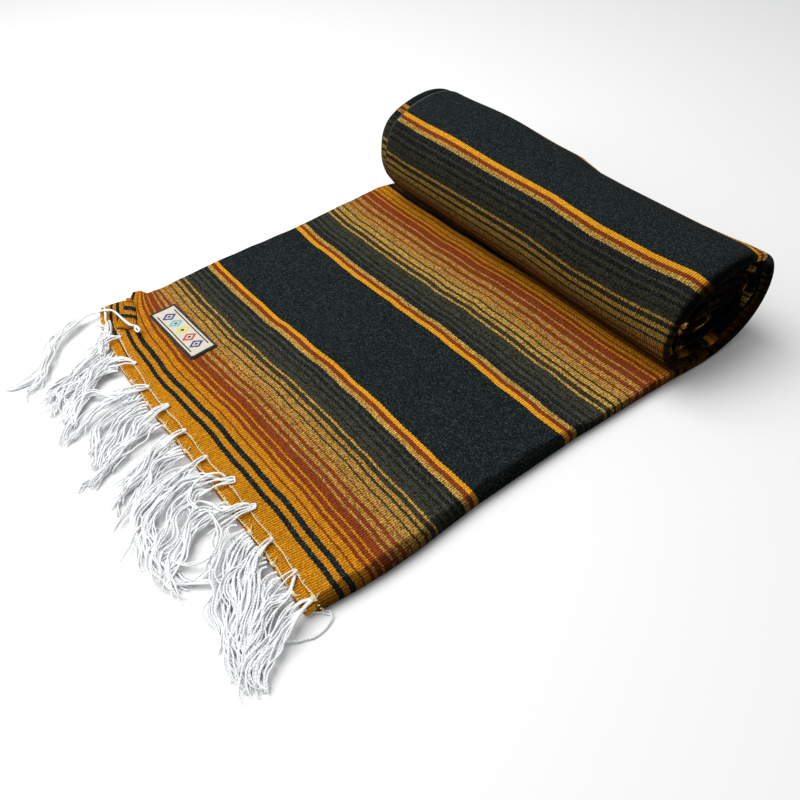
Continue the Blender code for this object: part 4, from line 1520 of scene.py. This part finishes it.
def kept_near(line):
    """The same line, eased back where it strays too far off to the sides or ahead."""
    line[:, 0] = soft_limit(line[:, 0], -REACH_ACROSS, REACH_ROOM)
    line[:, 0] = -soft_limit(-line[:, 0], -REACH_ACROSS, REACH_ROOM)
    line[:, 1] = soft_limit(line[:, 1], -REACH_AHEAD, REACH_AHEAD_ROOM)
    return line


def soft_limit(values, limit, room):
    """Values below a limit pressed into the room beyond it."""
    over = np.maximum(limit - values, 0)
    return np.where(values < limit, limit - room * np.tanh(over / room), values)


# Tassels of each row: place of the root across, length, half width, yarns, and the way it points at
# four even places along it, in mm and degrees. -90 is straight out from the edge, and 0 towards the
# near fold.
TOP_TASSELS = (
    (-194, 118, 4.0, 8, (-105, -50, -40, -125)),
    (-194, 128, 4.0, 8, (-110, -45, -35, -60)),
    (-144, 92, 3.0, 8, (-165, -15, -85, -75)),
    (-103, 92, 2.5, 8, (-185, -70, -85, -35)),
    (-68, 103, 2.5, 8, (-95, -155, -45, -30)),
    (-36, 76, 2.5, 8, (-110, -55, -55, -75)),
    (-3, 74, 3.0, 8, (-95, -80, -60, -45)),
    (32, 84, 3.0, 8, (-95, -90, -70, 15)),
    (64, 132, 2.5, 8, (-165, -75, -20, 15)),
    (96, 94, 2.5, 8, (-150, -90, -55, 20)),
    (128, 87, 3.0, 8, (-80, -40, -55, -5)),
    (160, 68, 3.0, 8, (-35, -70, -65, -30)),
    (188, 70, 3.0, 8, (-115, -60, -60, 15)),
    (188, 66, 3.0, 8, (-75, -75, -60, 0)),
)
LOWER_TASSELS = (
    (-183, 114, 5.0, 16, (0, -45, -85, -40)),
    (-162, 94, 5.0, 12, (-10, -55, -70, -30)),
    (-128, 76, 6.0, 16, (-75, -45, -70, -20)),
    (-112, 88, 5.5, 16, (-120, -45, -40, -40)),
    (-85, 79, 6.0, 16, (-20, -100, -60, -60)),
    (-70, 79, 6.0, 16, (-60, -80, -35, -15)),
    (-52, 81, 6.0, 16, (-105, -50, -45, -60)),
    (-30, 75, 6.0, 16, (-80, -70, -65, -95)),
    (-8, 73, 6.0, 16, (-65, -55, -65, -35)),
    (12, 70, 6.0, 16, (-100, -65, -50, -35)),
    (36, 100, 6.5, 16, (-95, -65, -30, 5)),
    (58, 92, 6.5, 16, (-115, -45, -55, 15)),
    (82, 82, 6.0, 12, (-110, -70, -50, 10)),
    (98, 75, 4.0, 8, (-130, -5, -85, -170)),
    (112, 89, 8.0, 20, (-90, -35, -25, -15)),
    (122, 98, 7.0, 16, (-80, -25, -40, -5)),
    (138, 90, 7.0, 16, (-115, -20, -30, -50)),
    (156, 64, 6.0, 12, (-115, -35, -60, 20)),
    (170, 62, 6.0, 12, (-110, -55, -55, 20)),
    (180, 62, 5.0, 8, (-75, -65, -70, 15)),
)
# Single yarns that lie apart from the tassels: across, along and height, in mm, from point to point
LOOSE_YARNS = (
    (  # over the turned corner to a small knot
        (-200, 2, 4), (-191, 5, 9), (-183, 8, 13), (-174, 12, 15), (-160, 14.5, 15.5), (-148, 16.5, 15),
        (-142, 20, 14), (-137, 21, 13.5), (-135, 19, 13.5), (-138, 17.5, 13.5), (-141, 19, 13.5),
    ),
    (  # down beside it
        (-196, 8, 8), (-188, 9, 11), (-181, 5, 11), (-172, 3, 10.5), (-164, 2, 10), (-156, -2, 9),
        (-150, -8, 7), (-146, -20, 5), (-138, -34, 3),
    ),
    (  # out from the near corner and back
        (181, -8, 2.5), (187, -1, 1.2), (192, 4, 1), (197, 3.5, 1), (201, -3, 1), (201, -12, 1),
        (198, -21, 1.5), (193, -30, 3), (190, -40, 3),
    ),
    (  # loops in the middle of the fringe
        (59, 3, 12), (56, 1, 14), (52, -8, 15), (52, -16, 13), (55, -22, 12), (61, -27, 11),
        (71, -26, 10), (80, -21, 10), (96, -22, 10), (107, -27, 9), (112, -37, 8), (107, -51, 6),
        (95, -58, 4), (83, -60, 3),
    ),
    (
        (96, 4, 12), (93, 3, 14.5), (90, -3, 14), (87, -13, 13), (75, -16, 12), (67, -23, 11),
        (69, -29, 10), (78, -35, 9), (90, -43, 8), (99, -52, 6), (106, -61, 4), (108, -69, 2),
    ),
)


def loose_yarns(fringe, random):
    """Each loose yarn twice, side by side."""
    lines, radii = [], []
    for points in LOOSE_YARNS:
        table = np.array(points, float) * MM
        table[:, 1] += FRINGE_EDGE
        for copy in range(2):
            moved = table + random.normal(0, 0.0007, table.shape) * (1, 1, 0.4)
            lines.append(smooth_line(moved, 40))
            radii.append(fringe.thickness / 2 * random.uniform(0.9, 1.15))
    return lines, radii


def smooth_line(points, count):
    """A smooth line through points, by Catmull and Rom's rule."""
    padded = np.concatenate([[2 * points[0] - points[1]], points, [2 * points[-1] - points[-2]]])
    at = np.linspace(0, len(points) - 1 - 1e-6, count)
    first = at.astype(int)
    share = (at - first)[:, None]
    p0, p1, p2, p3 = (padded[first + i] for i in range(4))
    line = 0.5 * (
        2 * p1 + (p2 - p0) * share + (2 * p0 - 5 * p1 + 4 * p2 - p3) * share**2
        + (3 * p1 - p0 - 3 * p2 + p3) * share**3
    )
    line[:, 2] = np.maximum(line[:, 2], 0.0008)
    return line


# Knots whose pair of yarns doubles back over the cloth: across, how far in mm, way in radians
KNOT_LOOPS = (
    (-0.144, 1, -1.9), (-0.103, 1.5, -2.2), (-0.068, 0.5, -2.0), (-0.036, 3, -1.6),
    (-0.003, 0.5, -1.7), (0.032, 0, -1.5), (0.064, 5, -1.9), (0.096, 4.5, -1.8),
    (0.128, 0, -1.3), (0.160, 0.5, -1.5),
)
LONG_LOOP = 2  # mm over the cloth, past which a knot has a second loop
LOOP_NOSE = 0.0008
TIE_RADIUS = 0.0007


class SERAPE_OT_fringe(bpy.types.Operator):
    """Tie the tassels of the top leaf and of the tucked leaves"""

    bl_idname = "serape.fringe"
    bl_label = "Tie the fringe"

    def execute(self, context):
        scene = context.scene
        fringe = scene.serape_fringe
        finish = yarn_finish("fringe_yarn", scene.serape_yarns.fringe)
        random = np.random.default_rng(fringe.seed)
        parts = [loose_yarns(fringe, random)]
        for tassel in TOP_TASSELS:
            parts.append(tassel_yarns(knot_place(tassel[0] * MM), tassel, TOP_ROW, fringe, random))
        for across, over, towards in KNOT_LOOPS:
            parts.append(tie_yarns(knot_place(across), towards, over, random))
        piece = strand_mesh("fringe_top_row", *gathered(parts), finish)
        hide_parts("fringe_upper")
        parts = []
        for tassel in LOWER_TASSELS:
            parts.append(tassel_yarns(lower_root(tassel[0] * MM), tassel, LOWER_ROW, fringe, random))
        piece = strand_mesh("fringe_lower_row", *gathered(parts), finish)
        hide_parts("fringe_lower")
        return {"FINISHED"}


def gathered(parts):
    """Lines and radii of several parts of the fringe as one list of each."""
    return [sum(lists, []) for lists in zip(*parts)]


def tie_yarns(knot, towards, over, random):
    """A knot's doubled thick yarn: both legs leave the tassel, arch over the leaf below and meet."""
    x, y, height = knot
    run = np.array([cos(towards), sin(towards)])
    side = np.array([-run[1], run[0]])
    # From the floor to the cloth: how far out from the knot, how high, and half the loop's width
    out = np.array([0.030, 0.022, 0.014, 0.007, 0.002, -over * MM])
    rise = np.array([0.004, 0.0075, height, height + 0.0022, height + 0.002, height + 0.0014])
    wide = np.array([0.0034, 0.0030, 0.0024, 0.0017, 0.0013, 0.0009]) * (1 + 0.12 * over)
    lines = []
    for which in range(1 + (over > LONG_LOOP)):
        shift = random.uniform(-0.002, 0.002) * which
        lengths_out = out * random.uniform(0.9, 1.1)
        sway = random.uniform(-0.005, 0.005) * (lengths_out / 0.03)
        legs = []
        for way in (-1, 1):
            flat = (x, y) + np.outer(lengths_out, run) + np.outer(way * wide + sway + shift, side)
            legs.append(np.column_stack([flat, np.maximum(rise, 0.001)]))
        turn = (legs[0][-1] + legs[1][-1]) / 2
        turn[:2] -= run * LOOP_NOSE
        lines.append(smooth_line(np.concatenate([legs[0], [turn], legs[1][::-1]]), 44))
    return lines, [TIE_RADIUS] * len(lines)


# ---- threads and knots along the fringe edges

THREAD_RADIUS = 0.00034
EDGE_THREAD_FROM = -0.155
EDGE_THREAD_LEFT, EDGE_THREAD_RIGHT = -0.1985, 0.1945  # no thread reaches past these places
THREAD_POINTS, STITCH_POINTS, TAIL_POINTS = 24, 5, 8
THREAD_INSIDE, THREAD_WAVE = 0.0004, 0.0006  # how far inside the edge it runs
SHORT_STITCHES = (0.011, 0.019)  # how far from its knot they go on
STITCH_FIRST, STITCH_STEP, STITCH_UNEVEN = 0.0025, 0.0034, 0.0008
STITCH_OUTSIDE = 0.0004  # each starts this far outside the edge
STITCH_LENGTHS, STITCH_SLANTS = (0.0012, 0.0026), (-0.0006, 0.0014)
TAIL_CHANCE, TAIL_RUN, TAIL_REACH = 0.7, 0.007, 0.0055  # a knot's loose end over the cloth
KNOT_TURNS, KNOT_TURN_PITCH = 3, 0.0007
KNOT_RADIUS = 0.00055
KNOT_WIDTHS, KNOT_RISE, KNOT_LEAN = (0.0013, 0.0018), 0.0013, 0.0008  # of its turns
KNOT_AHEAD, KNOT_OVER = 0.0006, 0.0002  # where its first turn lies from the tassel's root


class SERAPE_OT_edge_threads(bpy.types.Operator):
    """Run the cream warp ends along both fringe edges and knot them"""

    bl_idname = "serape.edge_threads"
    bl_label = "Knot the edge threads"

    def execute(self, context):
        scene = context.scene
        finish = yarn_finish("cream_thread", scene.serape_yarns.thread, 0.0015, 0.0001)
        random = np.random.default_rng(11)
        top = [knot_place(across) for across in KNOTS]
        lines = edge_threads(top, 0.0, random)
        below = []
        for before, after in zip(top[:-1], top[1:]):
            x = (before[0] + after[0]) / 2
            below.append((x, edge_line(x, SECOND_LEAF_SHOWS), before[2] - CLOTH - GAP))
        lines += edge_threads(below, SECOND_LEAF_SHOWS, random)
        piece = strand_mesh("edge_threads", lines, [THREAD_RADIUS] * len(lines), finish, 5)
        piece = strand_mesh("knots", *knot_loops(top + below, random), finish, 6)
        return {"FINISHED"}


def edge_threads(knots, back, random):
    """Thin threads that hug an edge on both sides of its knots, with short stitches just inside it."""
    lines = []
    for (x, y, z), onward in zip(knots[:-1], knots[1:]):
        if onward[0] < FOLDED_BACK_BEFORE and not back:
            continue
        across = np.linspace(max(x, EDGE_THREAD_FROM), onward[0], THREAD_POINTS)
        wave = THREAD_INSIDE + THREAD_WAVE * np.sin(np.linspace(0, 7, THREAD_POINTS) + x * 90)
        lines.append(on_edge(across, back, z, wave))
    for x, y, z in knots:
        if x < FOLDED_BACK_BEFORE and not back:
            continue
        share = np.linspace(0, 1, STITCH_POINTS)
        for way in (-1, 1):
            reach = random.uniform(*SHORT_STITCHES)
            for stitch in np.arange(STITCH_FIRST, reach, STITCH_STEP):
                at = x + way * (stitch + random.uniform(-STITCH_UNEVEN, STITCH_UNEVEN))
                deep = random.uniform(*STITCH_LENGTHS)
                slant = way * random.uniform(*STITCH_SLANTS)
                lines.append(on_edge(at + slant * share, back, z, deep * share - STITCH_OUTSIDE))
        if random.random() < TAIL_CHANCE:
            share = np.linspace(0, 1, TAIL_POINTS)
            turn = random.uniform(-1.2, 1.2)
            across = x + sin(turn) * TAIL_RUN * share + 0.001 * np.sin(5 * share)
            lines.append(on_edge(across, back, z + 0.0006, TAIL_REACH * share * abs(cos(turn)) - 0.0008))
    return lines


def on_edge(across, back, z, inside):
    """Points along an edge, this far inside it, on the cloth."""
    across = np.clip(across, EDGE_THREAD_LEFT, EDGE_THREAD_RIGHT)
    y = np.array([edge_line(x, back) for x in across]) + inside
    along = np.maximum(y - FRINGE_EDGE, 0)
    if back:
        height = np.full(len(across), z)
    else:
        height = np.array([float(top_height(np.array(x), FRINGE_EDGE)) for x in across])
        height = height + edge_lift(across, along)
    return np.column_stack([across, y, height + GAP])


def knot_loops(knots, random):
    """A small wound knot on each tassel's root."""
    lines = []
    turn = np.linspace(0, tau, 11)
    for x, y, z in knots:
        for loop in range(KNOT_TURNS):
            lean = random.uniform(-0.5, 0.5)
            width = random.uniform(*KNOT_WIDTHS)
            lines.append(np.column_stack([
                x + width * np.cos(turn),
                y - KNOT_AHEAD + loop * KNOT_TURN_PITCH + lean * KNOT_LEAN * np.sin(turn),
                z + KNOT_OVER + KNOT_RISE * np.sin(turn),
            ]))
    return lines, [KNOT_RADIUS] * len(lines)


# ---- the stage

FLOOR_HALF, FLOOR_LEVEL = 3.0, -0.0003
ROOM_COLOUR = (0.98, 0.99, 1, 1)
LIGHTS = (("key", (-0.45, -0.25, 1.45), 1.4), ("fill", (-0.35, -0.95, 0.70), 0.8))  # place and size
CAMERA_AT = (0.43071, -0.24341, 0.41989)
YAW, TILT, BANK = radians(56.15), radians(49.685), radians(-4.24)
LENS, SENSOR = 33.84, 36  # mm
LENS_SHIFT = (-0.034, 0.0825)


class SERAPE_OT_stage(bpy.types.Operator):
    """Set out the floor, the lights and the camera"""

    bl_idname = "serape.stage"
    bl_label = "Set the stage"

    def execute(self, context):
        scene = context.scene
        stage = scene.serape_stage
        self.floor(scene, stage)
        self.lights(scene, stage)
        self.camera(scene)
        return {"FINISHED"}

    def floor(self, scene, stage):
        finish = Finish("floor_paper", Roughness=0.9, Specular_IOR_Level=0.2)
        finish.feed(Base_Color=opaque(stage.floor))
        mesh = bpy.data.meshes.new("floor")
        sides = ((-1, -1), (1, -1), (1, 1), (-1, 1))
        corners = [(x * FLOOR_HALF, y * FLOOR_HALF, FLOOR_LEVEL) for x, y in sides]
        mesh.from_pydata(corners, [], [(0, 1, 2, 3)])
        mesh.materials.append(finish.material)
        paper = bpy.data.objects.new("floor", mesh)
        scene.collection.objects.link(paper)
        world = bpy.data.worlds.new("room")
        scene.world = world
        world.use_nodes = True
        background = world.node_tree.nodes["Background"]
        background.inputs["Color"].default_value = ROOM_COLOUR
        background.inputs["Strength"].default_value = stage.room

    def lights(self, scene, stage):
        for name, place, size in LIGHTS:
            soft_light(scene, name, getattr(stage, name), place, size)
        scene.view_settings.view_transform = "Standard"

    def camera(self, scene):
        lens = bpy.data.cameras.new("camera")
        camera = bpy.data.objects.new("camera", lens)
        scene.collection.objects.link(camera)
        lens.lens = LENS
        lens.sensor_width = SENSOR
        lens.shift_x, lens.shift_y = LENS_SHIFT
        level = Vector((cos(YAW), sin(YAW), 0))
        ahead = Vector((-sin(YAW) * cos(TILT), cos(YAW) * cos(TILT), -sin(TILT)))
        upward = level.cross(ahead)
        right = cos(BANK) * level + sin(BANK) * upward
        up = -sin(BANK) * level + cos(BANK) * upward
        turn = Matrix((right, up, -ahead)).transposed()
        camera.matrix_world = Matrix.Translation(CAMERA_AT) @ turn.to_4x4()
        scene.camera = camera


def soft_light(scene, name, power, place, size):
    """A square soft light turned to the middle of the serape."""
    lamp = bpy.data.lights.new(name, "AREA")
    lamp.energy = power
    lamp.size = size
    light = bpy.data.objects.new(name, lamp)
    scene.collection.objects.link(light)
    light.location = place
    light.rotation_euler = (Vector((0, 0, 0.03)) - Vector(place)).to_track_quat("-Z", "Y").to_euler()


PIECE_OPERATORS = (
    SERAPE_OT_stage,
    SERAPE_OT_flat_leaf,
    SERAPE_OT_tucked_leaf,
    SERAPE_OT_roll,
    SERAPE_OT_inner_turns,
    SERAPE_OT_corner,
    SERAPE_OT_label_border,
    SERAPE_OT_label,
    SERAPE_OT_fringe,
    SERAPE_OT_edge_threads,
)
SETTINGS = {
    "serape_yarns": SerapeYarns,
    "serape_cloth": SerapeCloth,
    "serape_fringe": SerapeFringe,
    "serape_stage": SerapeStage,
}


class SERAPE_PT_sidebar(bpy.types.Panel):
    """Everything that makes the serape, in the 3D view's sidebar"""

    bl_label = "Serape"
    bl_idname = "SERAPE_PT_sidebar"
    bl_space_type = "VIEW_3D"
    bl_region_type = "UI"
    bl_category = "Serape"

    def draw(self, context):
        layout = self.layout
        for holder in SETTINGS:
            settings = getattr(context.scene, holder)
            box = layout.box()
            for name in settings.bl_rna.properties.keys():
                if name not in ("rna_type", "name"):
                    box.prop(settings, name)
        for operator in PIECE_OPERATORS:
            layout.operator(operator.bl_idname)


def register():
    for kind in (*SETTINGS.values(), *PIECE_OPERATORS, SERAPE_PT_sidebar):
        bpy.utils.register_class(kind)
    for holder, kind in SETTINGS.items():
        setattr(bpy.types.Scene, holder, bpy.props.PointerProperty(type=kind))


def unregister():
    for holder in SETTINGS:
        delattr(bpy.types.Scene, holder)
    for kind in reversed((*SETTINGS.values(), *PIECE_OPERATORS, SERAPE_PT_sidebar)):
        bpy.utils.unregister_class(kind)


def main():
    register()
    for operator in PIECE_OPERATORS:
        group, name = operator.bl_idname.split(".")
        getattr(getattr(bpy.ops, group), name)()


if __name__ == "__main__":
    main()
